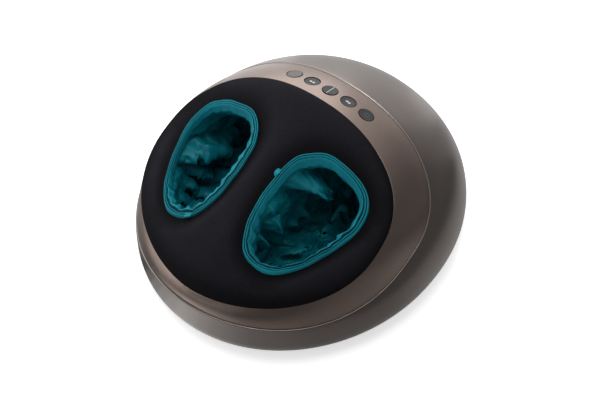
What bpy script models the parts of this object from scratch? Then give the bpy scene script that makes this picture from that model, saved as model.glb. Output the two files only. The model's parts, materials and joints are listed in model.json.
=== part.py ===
"""Shiatsu foot massager as an assembly of separate pieces.

Metres, +Z up. +Y points from the heels to the toes, where the keys are, and +X to the user's
right. The origin lies on the floor under the middle of the body.
"""
import math
from collections import namedtuple

import bmesh
import bpy
from mathutils import Matrix, Vector
from mathutils.bvhtree import BVHTree
from mathutils.geometry import delaunay_2d_cdt

# Shell outside the seam, down to the body's widest level
SHELL_SIDE_WIDTH = 0.0173
SHELL_REAR_WIDTH = 0.1271
GIRTH_WIDEST_BEHIND_SEAM = 0.0308
GIRTH_HEIGHT = 0.034
GIRTH_FRONT_POWER = 1.98
GIRTH_REAR_POWER = 2.15
TUCK_IN = 0.030
RING_POINTS = 36

# Clearances
FIT_GAP = 0.0003
SEAM_GAP = 0.0005
SOFT_GAP = 0.0004
RUNNING_GAP = 0.0010

# Seam between the outer shell and the deck
SEAM_WIDEST_BEHIND_PAD = 0.0407
SEAM_FRONT_POWER = 2.02
SEAM_REAR_POWER = 2.89
SEAM_HEIGHT = 0.16205
SEAM_SLOPE_SHARE = 0.286
SEAM_BEND_X = 0.2245
SEAM_BEND_Y = 0.774

# Deck between the seam and the pad
DECK_SIDE_WIDTH = 0.019
DECK_FRONT_WIDTH = 0.0089
DECK_REAR_WIDTH = 0.0567

# Pad round the foot openings
PAD_SIDE_MARGIN = 0.0366
PAD_FRONT_MARGIN = 0.0465
PAD_REAR_MARGIN = 0.048
PAD_WIDEST_BEHIND_OPENING = 0.0189
PAD_FRONT_POWER = 1.86
PAD_REAR_POWER = 2.70
PAD_EDGE_RISE = 0.03132
PAD_EDGE_SLOPE_SHARE = 0.244
PAD_EDGE_BEND_X = 0.2714
PAD_EDGE_BEND_Y = 0.408

# Crown of the pad
CROWN_RISE = 0.0181
CROWN_SLOPE_SHARE = 0.338
CROWN_BEND_X = 0.2108
CROWN_BEND_Y = 1.30
CROWN_ROLL_SHARE = 0.35
OPENING_DIP = 0.005
OPENING_DIP_WIDTH = 0.012

# Foot openings
OPENING_INNER_X = 0.0194
OPENING_HALF_WIDTH = 0.050
OPENING_HALF_LENGTH = 0.0722
OPENING_TAPER_SHARE = 0.25
OPENING_POWER = 2.51
OPENING_POINTS = 28

# Outer shell
SHELL_WALL = 0.0026
SHELL_ROW_SHARES = (1.0, 0.8, 0.6, 0.4, 0.2, 0.0)
SHELL_ARC_REAR = math.radians(53.6)
SHELL_ARC_SIDE = math.radians(59.5)
SHELL_ARC_FRONT = math.radians(45.8)
PARTING_HEIGHT = 0.014
LAND_WIDTH = 0.0016
LEDGE_WIDTH = 0.0064
LEDGE_DEPTH = 0.0030

# Deck shell
DECK_WALL = 0.0024
DECK_BULGE = 0.00275
RECESS_DEPTH = 0.007
FLANGE_WIDTH = 0.010
DECK_ROW_SHARES = (0.0, 0.2, 0.45, 0.7, 1.0)
DECK_INNER_SHARES = (1.0, 0.6, 0.2)

# Pad and its frame
FRAME_THICKNESS = 0.0024
PAD_RING_SHARES = (0.03, 0.08, 0.16, 0.28, 0.45, 0.68)
FRAME_RING_SHARES = (0.16, 0.45)
PAD_OPENING_STEPS = (0.005, 0.013)

# Base tray
TRAY_WALL = 0.0025
TRAY_BEND_INSET = 0.010
TONGUE_HEIGHT = 0.005
TONGUE_WALL = 0.0016
FOOT_HEIGHT = 0.004
FOOT_RADIUS = 0.012
FOOT_CHAMFER = 0.0008
FOOT_SIDE_INSET = 0.0973
FOOT_END_INSET = 0.1038
VENT_COUNT = 6
VENT_WIDTH = 0.003
VENT_LENGTH = 0.034
VENT_PITCH = 0.009
VENT_REAR_INSET = 0.1158

# Gear train, all pitch circles in one plane
GEAR_MODULE = 0.0036
HEAD_TEETH = 20
DRIVE_TEETH = 18
PINION_TEETH = 10
PRESSURE_ANGLE = math.radians(20.0)
ADDENDUM_SHARE = 0.80
DEDENDUM_SHARE = 1.05
BACKLASH = 0.0004
GEAR_FACE = 0.008
DRIVE_BEHIND_OPENING = 0.0452
AXLE_RADIUS = 0.003
AXLE_HEAD_REACH = 0.007

# Gear plate and the sole cover over the gears
PLATE_THICKNESS = 0.003
PLATE_POWER = 6.0
PLATE_MARGIN = 0.003
PLATE_POINTS = 28
TRAY_POST_HEIGHT = 0.0137
TRAY_POST_RADIUS = 0.005
TRAY_POST_DRAFT = 0.001
COVER_WALL = 0.0025

# Massage heads
HEAD_RADIUS = 0.032
HEAD_DISC_THICKNESS = 0.0045
HEAD_NECK_RADIUS = 0.017
HEAD_COVER_GAP = 0.0008
NODE_COUNT = 3
NODE_RADIUS = 0.0105
NODE_CIRCLE_RADIUS = 0.0195
NODE_RISE = 0.0125
NODE_SECTION_SHARES = ((1.0, 0.0), (1.0, 0.30), (0.80, 0.74), (0.36, 1.0))

# Gearmotor
GEARBOX_RADIUS = 0.0165
GEARBOX_HEIGHT = 0.018
MOTOR_RADIUS = 0.0138
MOTOR_HEIGHT = 0.034
MOTOR_END_HEIGHT = 0.004
MOTOR_END_RADIUS = 0.006
SHAFT_ENTRY = 0.010

# Fabric liners
LINER_WALL = 0.0020
LINER_POINTS = 28
TOE_REACH = 0.074
TOE_ROOF_SHARE = 0.45
LINER_NECK_SHARE = 0.08
LINER_DEPTH_SHARES = (0.0, 0.08, 0.22, 0.45, 0.72, 1.0)
LINER_FLOOR_TUCK = 0.010
FOLD_DEPTH = 0.0026
FOLD_COUNT = 5

# Zipped trim round each opening
TRIM_WIDTH = 0.0062
TRIM_HEIGHT = 0.011
TRIM_ROUND = 0.0022

# Keys and their board
KEY_RADIUS = 0.0098
KEY_PITCH = 0.0262
KEY_COUNT = 5
KEY_ROW_SHARE = 0.427
KEY_PROUD = 0.0006
KEY_CAP_DEPTH = 0.0042
KEY_FLANGE = 0.0012
KEY_FLANGE_DEPTH = 0.0012
KEY_FLANGE_DROP = 0.0019
KEY_STEM_RADIUS = 0.0020
KEY_TRAVEL = 0.0012
KEY_EDGE_ROUND = 0.0008
KEY_POINTS = 18
ROCKER_STEM_X = 0.0052
BOARD_DROP = 0.022
BOARD_THICKNESS = 0.0016
BOARD_END_MARGIN = 0.0226
BOARD_DEPTH = 0.026
SWITCH_SIZE = 0.0062
SWITCH_HEIGHT = 0.0035
BRACKET_THICKNESS = 0.0022
BRACKET_POST = 0.007

# Power inlet in the rear of the outer shell
INLET_HEIGHT = 0.0532
INLET_BARREL_RADIUS = 0.0058
INLET_FLANGE_RADIUS = 0.0080
INLET_FLANGE_THICKNESS = 0.0012
INLET_LENGTH = 0.016
INLET_BORE_RADIUS = 0.0032
INLET_BORE_DEPTH = 0.0115

# Air system
PUMP_X = -0.058
PUMP_REAR_INSET = 0.0838
PUMP_RADIUS = 0.021
PUMP_HEIGHT = 0.040
PUMP_CAP_RADIUS = 0.017
PUMP_CAP_HEIGHT = 0.009
PUMP_SPOUT_RADIUS = 0.0035
VALVE_X = 0.050
VALVE_REAR_INSET = 0.0858
VALVE_WIDTH = 0.040
VALVE_DEPTH = 0.024
VALVE_HEIGHT = 0.022
BLADDER_HALF_WIDTH = 0.022
BLADDER_OUTSET = 0.006
BLADDER_HALF_LENGTH = 0.024
BLADDER_THICKNESS = 0.008
BLADDER_BEHIND_OPENING = 0.036
BLADDER_SEAT_GAP = 0.0017
BLADDER_POINTS = 16
BLADDER_SECTION_SHARES = ((0.45, 0.0), (0.85, 0.0), (1.0, 0.25), (0.85, 0.6), (0.45, 1.0))
HOSE_RADIUS = 0.003
HOSE_STEPS = 3
HOSE_LOOP_HEIGHT = 0.078
HOSE_BEHIND_TOES = 0.028
HOSE_STUB = 0.007

# Cutters run past what they cut by this much
OVERRUN = 0.002

# Kind of triangles that delaunay_2d_cdt gives: those inside the outer edge
INSIDE_ONLY = 1

Egg = namedtuple("Egg", "half_width middle_y front rear front_power rear_power")
Dome = namedtuple("Dome", "top slope bend_x bend_y")

# Lengths along the body, centred on the origin
OPENING_LENGTH = 2 * OPENING_HALF_LENGTH
PAD_LENGTH = PAD_FRONT_MARGIN + OPENING_LENGTH + PAD_REAR_MARGIN
BODY_LENGTH = DECK_FRONT_WIDTH + PAD_LENGTH + DECK_REAR_WIDTH + SHELL_REAR_WIDTH
FRONT_Y = -BODY_LENGTH / 2
REAR_Y = BODY_LENGTH / 2
PAD_FRONT_Y = FRONT_Y + DECK_FRONT_WIDTH
PAD_REAR_Y = PAD_FRONT_Y + PAD_LENGTH
SEAM_REAR_Y = PAD_REAR_Y + DECK_REAR_WIDTH
OPENING_MIDDLE_Y = PAD_FRONT_Y + PAD_FRONT_MARGIN + OPENING_HALF_LENGTH
OPENING_REAR_Y = OPENING_MIDDLE_Y + OPENING_HALF_LENGTH
KEY_ROW_Y = PAD_REAR_Y + KEY_ROW_SHARE * DECK_REAR_WIDTH
DRIVE_Y = OPENING_MIDDLE_Y + DRIVE_BEHIND_OPENING
BLADDER_Y = OPENING_REAR_Y + BLADDER_BEHIND_OPENING
PUMP_Y = REAR_Y - PUMP_REAR_INSET
VALVE_Y = REAR_Y - VALVE_REAR_INSET
VENT_MIDDLE_Y = REAR_Y - VENT_REAR_INSET
BOARD_LENGTH = (KEY_COUNT - 1) * KEY_PITCH + 2 * BOARD_END_MARGIN


def egg(half_width, middle_y, front_y, rear_y, front_power, rear_power):
    """An outline given by its widest place and its front and rear ends."""
    return Egg(half_width, middle_y, middle_y - front_y, rear_y - middle_y, front_power, rear_power)


PAD = egg(OPENING_INNER_X + 2 * OPENING_HALF_WIDTH + PAD_SIDE_MARGIN,
          OPENING_MIDDLE_Y + PAD_WIDEST_BEHIND_OPENING,
          PAD_FRONT_Y, PAD_REAR_Y, PAD_FRONT_POWER, PAD_REAR_POWER)
SEAM = egg(PAD.half_width + DECK_SIDE_WIDTH, PAD.middle_y + SEAM_WIDEST_BEHIND_PAD, FRONT_Y, SEAM_REAR_Y,
           SEAM_FRONT_POWER, SEAM_REAR_POWER)
GIRTH = egg(SEAM.half_width + SHELL_SIDE_WIDTH, SEAM.middle_y + GIRTH_WIDEST_BEHIND_SEAM, FRONT_Y, REAR_Y,
            GIRTH_FRONT_POWER, GIRTH_REAR_POWER)
FOOT_X = GIRTH.half_width - FOOT_SIDE_INSET
FOOT_FRONT_Y = FRONT_Y + FOOT_END_INSET
FOOT_REAR_Y = REAR_Y - FOOT_END_INSET

SEAM_DOME = Dome(SEAM_HEIGHT, SEAM_SLOPE_SHARE, SEAM_BEND_X, SEAM_BEND_Y)
EDGE_DOME = Dome(SEAM_HEIGHT + PAD_EDGE_RISE, PAD_EDGE_SLOPE_SHARE, PAD_EDGE_BEND_X, PAD_EDGE_BEND_Y)
CROWN_DOME = Dome(EDGE_DOME.top + CROWN_RISE, CROWN_SLOPE_SHARE, CROWN_BEND_X, CROWN_BEND_Y)

# Levels of the mechanism, from the tray floor up
TRAY_FLOOR_TOP = FOOT_HEIGHT + TRAY_WALL
PLATE_BOTTOM = TRAY_FLOOR_TOP + TRAY_POST_HEIGHT + FIT_GAP
PLATE_TOP = PLATE_BOTTOM + PLATE_THICKNESS
GEAR_BOTTOM = PLATE_TOP + FIT_GAP
GEAR_TOP = GEAR_BOTTOM + GEAR_FACE
COVER_BOTTOM = GEAR_TOP + RUNNING_GAP
COVER_TOP = COVER_BOTTOM + COVER_WALL
HEAD_DISC_BOTTOM = COVER_TOP + HEAD_COVER_GAP
HEAD_DISC_TOP = HEAD_DISC_BOTTOM + HEAD_DISC_THICKNESS
NODE_TOP = HEAD_DISC_TOP + NODE_RISE
LINER_FLOOR = NODE_TOP + SOFT_GAP

HEAD_PITCH_RADIUS = GEAR_MODULE * HEAD_TEETH / 2
DRIVE_PITCH_RADIUS = GEAR_MODULE * DRIVE_TEETH / 2
PINION_PITCH_RADIUS = GEAR_MODULE * PINION_TEETH / 2
HEAD_X = HEAD_PITCH_RADIUS + DRIVE_PITCH_RADIUS
PINION_Y = DRIVE_Y + DRIVE_PITCH_RADIUS + PINION_PITCH_RADIUS
HEAD_TIP_RADIUS = HEAD_PITCH_RADIUS + ADDENDUM_SHARE * GEAR_MODULE


def clear_scene():
    for item in list(bpy.data.objects):
        bpy.data.objects.remove(item, do_unlink=True)


def material(name, color, roughness, metallic=0.0):
    made = bpy.data.materials.new(name)
    made.use_nodes = True
    shader = made.node_tree.nodes["Principled BSDF"]
    shader.inputs["Base Color"].default_value = (*color, 1.0)
    shader.inputs["Roughness"].default_value = roughness
    shader.inputs["Metallic"].default_value = metallic
    made.diffuse_color = (*color, 1.0)
    return made


def new_object(name, mesh, finish=None, smooth_angle=None):
    item = bpy.data.objects.new(name, mesh)
    bpy.context.scene.collection.objects.link(item)
    if finish is not None:
        mesh.materials.append(finish)
    if smooth_angle is not None:
        mesh.shade_smooth()
        mesh.set_sharp_from_angle(angle=smooth_angle)
    return item


def mesh_from(name, points, faces):
    """A mesh with its faces turned outwards."""
    mesh = bpy.data.meshes.new(name)
    mesh.from_pydata([tuple(p) for p in points], [], faces)
    shape = bmesh.new()
    shape.from_mesh(mesh)
    bmesh.ops.recalc_face_normals(shape, faces=shape.faces)
    shape.to_mesh(mesh)
    shape.free()
    return mesh


def signed_power(value, power):
    return math.copysign(abs(value) ** power, value)


def ring_angles(count):
    return [2 * math.pi * k / count for k in range(count)]


def egg_point(shape, angle, inset=0.0):
    """A point of an outline drawn in by inset, at an angle of its round parameter."""
    sine = math.sin(angle)
    power = shape.rear_power if sine > 0 else shape.front_power
    reach = shape.rear if sine > 0 else shape.front
    x = (shape.half_width - inset) * signed_power(math.cos(angle), 2 / power)
    y = shape.middle_y + (reach - inset) * signed_power(sine, 2 / power)
    return x, y


def dome_height(dome, x, y):
    return dome.top + dome.slope * y - x * x / (2 * dome.bend_x) - y * y / (2 * dome.bend_y)


def egg_ring(shape, dome, inset=0.0, drop=0.0, count=RING_POINTS):
    """The outline as a ring of points that lie a drop below a domed surface."""
    ring = []
    for angle in ring_angles(count):
        x, y = egg_point(shape, angle, inset)
        ring.append(Vector((x, y, dome_height(dome, x, y) - drop)))
    return ring


def flat_ring(shape, height, inset=0.0, count=RING_POINTS):
    return [Vector((*egg_point(shape, angle, inset), height)) for angle in ring_angles(count)]


def offset_rows(rows, distance):
    """Rows moved square to the surface that they span, inwards by distance."""
    moved = []
    count = len(rows[0])
    for i, row in enumerate(rows):
        above = rows[max(i - 1, 0)]
        below = rows[min(i + 1, len(rows) - 1)]
        ring = []
        for k, point in enumerate(row):
            along = row[(k + 1) % count] - row[k - 1]
            down = below[k] - above[k]
            ring.append(point + along.cross(down).normalized() * distance)
        moved.append(ring)
    return moved


def loft(name, rows, closed_section):
    """A solid through rings: a closed section makes a band, an open one gets a cap at each end."""
    count = len(rows[0])
    points = [p for row in rows for p in row]
    steps = len(rows) if closed_section else len(rows) - 1
    faces = []
    for i in range(steps):
        base, over = i * count, (i + 1) % len(rows) * count
        for k in range(count):
            after = (k + 1) % count
            faces.append((base + k, base + after, over + after, over + k))
    if not closed_section:
        faces += [tuple(range(count)), tuple(range(len(points) - count, len(points)))]
    return mesh_from(name, points, faces)


def circle(radius, height, count, middle=(0.0, 0.0)):
    return [Vector((middle[0] + radius * math.cos(a), middle[1] + radius * math.sin(a), height))
            for a in ring_angles(count)]


def turned(name, profile, count, middle=(0.0, 0.0)):
    """A turned solid from (radius, height) pairs; a profile that ends off the axis is a ring."""
    return loft(name, [circle(r, z, count, middle) for r, z in profile], False)


def cutter(name, mesh):
    item = new_object(name, mesh)
    item.hide_render = True
    item.display_type = "WIRE"
    return item


def combine(item, tool, operation="DIFFERENCE"):
    step = item.modifiers.new(tool.name, "BOOLEAN")
    step.operation = operation
    step.object = tool
    step.solver = "EXACT"


def cut_cylinder(item, name, middle, radius, low, high, count=12):
    """Cuts an upright round hole."""
    tool = cutter(name, turned(name, [(radius, low), (radius, high)], count, middle))
    combine(item, tool)


def box_mesh(name, low, high):
    corners = [(x, y, z) for z in (low[2], high[2]) for y in (low[1], high[1]) for x in (low[0], high[0])]
    faces = [(0, 2, 3, 1), (4, 5, 7, 6), (0, 1, 5, 4), (2, 6, 7, 3), (0, 4, 6, 2), (1, 3, 7, 5)]
    return mesh_from(name, corners, faces)


def settled_mesh(item):
    """The mesh of an object with its modifiers applied."""
    bpy.context.view_layer.update()
    graph = bpy.context.evaluated_depsgraph_get()
    return bpy.data.meshes.new_from_object(item.evaluated_get(graph))


# Outer shell

def shell_arc(angle):
    """How far the shell's section turns between its girth and the seam."""
    sine = math.sin(angle)
    end = SHELL_ARC_REAR if sine > 0 else SHELL_ARC_FRONT
    return SHELL_ARC_SIDE + (end - SHELL_ARC_SIDE) * sine * sine


def shell_row(turn_share):
    """A ring of the shell's outer face, from the girth at 0 to the seam at 1."""
    ring = []
    seam = egg_ring(SEAM, SEAM_DOME)
    for k, angle in enumerate(ring_angles(RING_POINTS)):
        arc = shell_arc(angle)
        turn = arc * turn_share
        out_share = (math.cos(turn) - math.cos(arc)) / (1 - math.cos(arc))
        up_share = math.sin(turn) / math.sin(arc)
        wide = Vector((*egg_point(GIRTH, angle), GIRTH_HEIGHT))
        x, y = seam[k].xy.lerp(wide.xy, out_share)
        ring.append(Vector((x, y, GIRTH_HEIGHT + (seam[k].z - GIRTH_HEIGHT) * up_share)))
    return ring


def tuck_inset(height):
    """How far the body draws in below its girth."""
    share = (GIRTH_HEIGHT - height) / (GIRTH_HEIGHT - FOOT_HEIGHT)
    return TUCK_IN * (1 - math.sqrt(max(0.0, 1 - share * share)))


def tuck_row(height):
    return flat_ring(GIRTH, height, tuck_inset(height))


def outer_shell(finish):
    arc_rows = [shell_row(share) for share in SHELL_ROW_SHARES]
    low_rows = [tuck_row((GIRTH_HEIGHT + PARTING_HEIGHT) / 2), tuck_row(PARTING_HEIGHT)]
    outside = arc_rows + low_rows
    inside = offset_rows(outside, SHELL_WALL)[1:]
    for point in inside[-1]:
        point.z = PARTING_HEIGHT
    ledge_end = LAND_WIDTH + LEDGE_WIDTH
    ledge_drop = LEDGE_DEPTH + SHELL_WALL
    steps = [(ledge_end, ledge_drop), (ledge_end, LEDGE_DEPTH), (LAND_WIDTH, LEDGE_DEPTH), (LAND_WIDTH, 0.0)]
    ledge = [egg_ring(SEAM, SEAM_DOME, inset, drop) for inset, drop in steps]
    rows = outside + inside[::-1] + ledge
    item = new_object("outer_shell", loft("outer_shell", rows, True), finish, math.radians(35))
    combine(item, inlet_cutter())
    return item


def inlet_frame():
    """Where the shell's rear face stands at the inlet, and the way out of it."""
    seam_y = SEAM.middle_y + SEAM.rear
    seam_z = dome_height(SEAM_DOME, 0.0, seam_y)
    up_share = (INLET_HEIGHT - GIRTH_HEIGHT) / (seam_z - GIRTH_HEIGHT)
    turn = math.asin(up_share * math.sin(SHELL_ARC_REAR))
    out_share = (math.cos(turn) - math.cos(SHELL_ARC_REAR)) / (1 - math.cos(SHELL_ARC_REAR))
    face_y = seam_y + (REAR_Y - seam_y) * out_share
    return Matrix.Translation((0.0, face_y, INLET_HEIGHT)) @ Matrix.Rotation(-math.pi / 2, 4, "X")


def inlet_cutter():
    radius = INLET_BARREL_RADIUS + FIT_GAP
    reach = INLET_LENGTH
    tool = cutter("inlet_hole", turned("inlet_hole", [(radius, -reach), (radius, reach)], 20))
    tool.matrix_world = inlet_frame()
    return tool


def power_inlet(finish):
    """A round socket with a flange on the outside of the shell."""
    seat = FIT_GAP + INLET_FLANGE_THICKNESS
    profile = [(INLET_FLANGE_RADIUS, FIT_GAP), (INLET_FLANGE_RADIUS, seat), (INLET_BORE_RADIUS, seat),
               (INLET_BORE_RADIUS, seat - INLET_BORE_DEPTH)]
    outside = [(INLET_BARREL_RADIUS, -INLET_LENGTH), (INLET_BARREL_RADIUS, FIT_GAP)]
    item = new_object("power_inlet", turned("power_inlet", outside + profile, 20), finish, math.radians(35))
    item.matrix_world = inlet_frame()
    return item


# Deck shell

def inner_reach(run):
    """How near to the pad's edge the deck's thin wall runs before it thickens into the recess."""
    below_flange = 1 - (RECESS_DEPTH + DECK_WALL) / run.z
    clear_of_recess = 1 - 2 * DECK_WALL / run.xy.length
    return max(below_flange, clear_of_recess)


def deck_row(part_share, inner=False):
    """A ring of the deck's face, from the seam at 0 to the pad's edge at 1, or of its inner face."""
    start = egg_ring(SEAM, SEAM_DOME, LAND_WIDTH + SEAM_GAP)
    end = egg_ring(PAD, EDGE_DOME)
    ring = []
    for low, high in zip(start, end):
        run = high - low
        share = part_share * inner_reach(run) if inner else part_share
        lowered = DECK_WALL if inner else 0.0
        flat = Vector((run.x, run.y, 0.0)).normalized()
        normal = (Vector((0.0, 0.0, 1.0)) * run.xy.length - flat * run.z).normalized()
        swell = DECK_BULGE * 4 * share * (1 - share)
        ring.append(low + run * share + normal * (swell - lowered))
    return ring


def deck_shell(finish):
    edge = LAND_WIDTH + SEAM_GAP
    foot_drop = LEDGE_DEPTH - FIT_GAP
    top = [deck_row(share) for share in DECK_ROW_SHARES]
    flange = RECESS_DEPTH + DECK_WALL
    steps = [(0.0, RECESS_DEPTH), (FLANGE_WIDTH, RECESS_DEPTH), (FLANGE_WIDTH, flange), (0.0, flange)]
    recess = [egg_ring(PAD, EDGE_DOME, inset, drop) for inset, drop in steps]
    under = [deck_row(share, True) for share in DECK_INNER_SHARES]
    foot = [egg_ring(SEAM, SEAM_DOME, inset, foot_drop) for inset in (edge + DECK_WALL, edge)]
    mesh = loft("deck_shell", top + recess + under + foot, True)
    return new_object("deck_shell", mesh, finish, math.radians(35))


# Pad, its frame and the openings

def opening_ring(side, inset=0.0, count=OPENING_POINTS):
    """Plan outline of a foot opening, wider towards the toes."""
    ring = []
    for angle in ring_angles(count):
        across = signed_power(math.cos(angle), 2 / OPENING_POWER)
        along = signed_power(math.sin(angle), 2 / OPENING_POWER)
        width = (OPENING_HALF_WIDTH - inset) * (1 + across) * (1 + OPENING_TAPER_SHARE * along)
        x = OPENING_INNER_X + inset + width
        ring.append(Vector((side * x, OPENING_MIDDLE_Y + (OPENING_HALF_LENGTH - inset) * along)))
    return ring


def opening_level(x, y):
    """1 on an opening's outline, more outside it."""
    along = (y - OPENING_MIDDLE_Y) / OPENING_HALF_LENGTH
    lean = 1 + OPENING_TAPER_SHARE * max(-1.0, min(1.0, along))
    across = (abs(x) - OPENING_INNER_X) / (OPENING_HALF_WIDTH * lean) - 1
    return (abs(across) ** OPENING_POWER + abs(along) ** OPENING_POWER) ** (1 / OPENING_POWER)


def pad_level(x, y):
    """1 on the pad's outline, less inside it."""
    behind = y > PAD.middle_y
    power = PAD.rear_power if behind else PAD.front_power
    reach = PAD.rear if behind else PAD.front
    return ((abs(x) / PAD.half_width) ** power + (abs(y - PAD.middle_y) / reach) ** power) ** (1 / power)


def rim_height(x, y):
    return dome_height(CROWN_DOME, x, y) - OPENING_DIP


def pad_top(x, y):
    """Height of the crowned pad: rolled at its edge, dipping into the openings."""
    base = dome_height(EDGE_DOME, x, y)
    inward = max(0.0, 1 - pad_level(x, y))
    roll = math.sqrt(max(0.0, 1 - max(0.0, 1 - inward / CROWN_ROLL_SHARE) ** 2))
    out = max(0.0, opening_level(x, y) - 1) * OPENING_HALF_WIDTH
    dip = OPENING_DIP * math.exp(-(out / OPENING_DIP_WIDTH) ** 2)
    return base + (dome_height(CROWN_DOME, x, y) - base) * roll - dip


def plan_mesh(edge_inset, ring_shares, opening_steps):
    """Triangles of the pad's plan round both openings, with the loops of its edges."""
    edge = [Vector(egg_point(PAD, a, edge_inset)) for a in ring_angles(RING_POINTS)]
    loops = [edge, opening_ring(1.0), opening_ring(-1.0)[::-1]]
    points = [p for loop in loops for p in loop]
    lines, start = [], 0
    for loop in loops:
        lines += [(start + k, start + (k + 1) % len(loop)) for k in range(len(loop))]
        start += len(loop)
    furthest = max(opening_steps, default=0.0)
    for share in ring_shares:
        ring = []
        for angle in ring_angles(RING_POINTS):
            x, y = egg_point(PAD, angle, edge_inset)
            x, y = x * (1 - share), PAD.middle_y + (y - PAD.middle_y) * (1 - share)
            clear = (opening_level(x, y) - 1) * OPENING_HALF_WIDTH > furthest + PAD_OPENING_STEPS[0]
            ring.append(len(points) if clear else None)
            if clear:
                points.append(Vector((x, y)))
        lines += [(a, b) for a, b in zip(ring, ring[1:] + ring[:1]) if None not in (a, b)]
    for step in opening_steps:
        for side in (1.0, -1.0):
            for point in opening_ring(side, -step):
                if pad_level(*point) < 1 - PAD_RING_SHARES[0] and abs(point.x) > step - OPENING_INNER_X:
                    points.append(point)
    found = delaunay_2d_cdt(points, lines, [], INSIDE_ONLY, FIT_GAP)
    plan, faces = found[0], found[2]
    kept = []
    for face in faces:
        middle = sum((plan[i] for i in face), Vector((0.0, 0.0))) / len(face)
        if opening_level(*middle) > 1:
            kept.append(tuple(face))
    return plan, kept


def border_edges(faces):
    """The edges that only one face uses, in that face's direction."""
    seen = {}
    for face in faces:
        for k, a in enumerate(face):
            b = face[(k + 1) % len(face)]
            seen[frozenset((a, b))] = None if frozenset((a, b)) in seen else (a, b)
    return [edge for edge in seen.values() if edge]


def slab(name, edge_inset, top_height, bottom_height, top_rings, top_steps, bottom_rings):
    """A solid between two height functions over the pad's plan; both plans share their borders."""
    top_plan, top_faces = plan_mesh(edge_inset, top_rings, top_steps)
    low_plan, low_faces = plan_mesh(edge_inset, bottom_rings, ())
    points = [Vector((p.x, p.y, top_height(p.x, p.y))) for p in top_plan]
    shift = len(points)
    points += [Vector((p.x, p.y, bottom_height(p.x, p.y))) for p in low_plan]
    faces = list(top_faces) + [tuple(i + shift for i in face[::-1]) for face in low_faces]
    for a, b in border_edges(top_faces):
        low_a = shift + min(range(len(low_plan)), key=lambda i: (low_plan[i] - top_plan[a]).length_squared)
        low_b = shift + min(range(len(low_plan)), key=lambda i: (low_plan[i] - top_plan[b]).length_squared)
        faces.append((b, a, low_a, low_b))
    return mesh_from(name, points, faces)


def frame_underside(x, y):
    return dome_height(EDGE_DOME, x, y) - RECESS_DEPTH + SOFT_GAP


def frame_top(x, y):
    return frame_underside(x, y) + FRAME_THICKNESS


def pad_underside(x, y):
    return frame_top(x, y) + FIT_GAP


def foot_pad(finish):
    mesh = slab("foot_pad", SOFT_GAP, pad_top, pad_underside, PAD_RING_SHARES, PAD_OPENING_STEPS,
                FRAME_RING_SHARES)
    return new_object("foot_pad", mesh, finish, math.radians(60))


def pad_frame(finish):
    mesh = slab("pad_frame", SOFT_GAP, frame_top, frame_underside, FRAME_RING_SHARES, (), FRAME_RING_SHARES)
    return new_object("pad_frame", mesh, finish, math.radians(30))


def rim_ring(side, inset, drop, count=OPENING_POINTS):
    """A ring in an opening that lies a drop below the rim."""
    return [Vector((p.x, p.y, rim_height(p.x, p.y) - drop)) for p in opening_ring(side, inset, count)]


def opening_trim(name, side, finish):
    """The zipped band that joins pad and liner, rounded at its top."""
    outer, inner = FIT_GAP, FIT_GAP + TRIM_WIDTH
    section = [(outer, TRIM_ROUND), (outer + TRIM_ROUND, 0.0), (inner - TRIM_ROUND, TRIM_ROUND / 2),
               (inner, TRIM_ROUND * 2), (inner, TRIM_HEIGHT), (outer, TRIM_HEIGHT)]
    rows = [rim_ring(side, inset, drop) for inset, drop in section]
    return new_object(name, loft(name, rows, True), finish, math.radians(50))


def liner_row(side, depth_share):
    """A ring of the liner's outer face, which runs back under the deck as a toe pocket."""
    below_neck = max(0.0, depth_share - LINER_NECK_SHARE)
    reach_share = min(1.0, below_neck / (TOE_ROOF_SHARE - LINER_NECK_SHARE))
    ring = []
    for k, point in enumerate(rim_ring(side, SOFT_GAP, TRIM_HEIGHT + SOFT_GAP, LINER_POINTS)):
        angle = 2 * math.pi * k / LINER_POINTS
        along = max(0.0, math.sin(angle))
        outward = max(0.0, math.cos(angle))
        fold = FOLD_DEPTH * math.sin(FOLD_COUNT * angle) * math.sin(math.pi * depth_share)
        tuck = LINER_FLOOR_TUCK * max(0.0, depth_share - TOE_ROOF_SHARE) / (1 - TOE_ROOF_SHARE)
        x = point.x - side * (outward * (tuck + abs(fold)))
        y = point.y + TOE_REACH * reach_share * along + tuck * (1 if along == 0 else 0) * abs(math.sin(angle))
        ring.append(Vector((x, y, point.z + (LINER_FLOOR - point.z) * depth_share)))
    return ring


def foot_liner(name, side, finish):
    """A fabric pocket: one wall from the trim down to its floor, open at the top."""
    outside = [liner_row(side, share) for share in LINER_DEPTH_SHARES]
    turn = LINER_WALL if side > 0 else -LINER_WALL
    inside = offset_rows(outside, turn)
    for point in inside[0]:
        point.z = rim_height(point.x, point.y) - TRIM_HEIGHT - SOFT_GAP
    for point in inside[-1]:
        point.z = LINER_FLOOR + LINER_WALL
    mesh = loft(name, outside[::-1] + inside, False)
    return new_object(name, mesh, finish, math.radians(60))


# Base tray and feet

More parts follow.
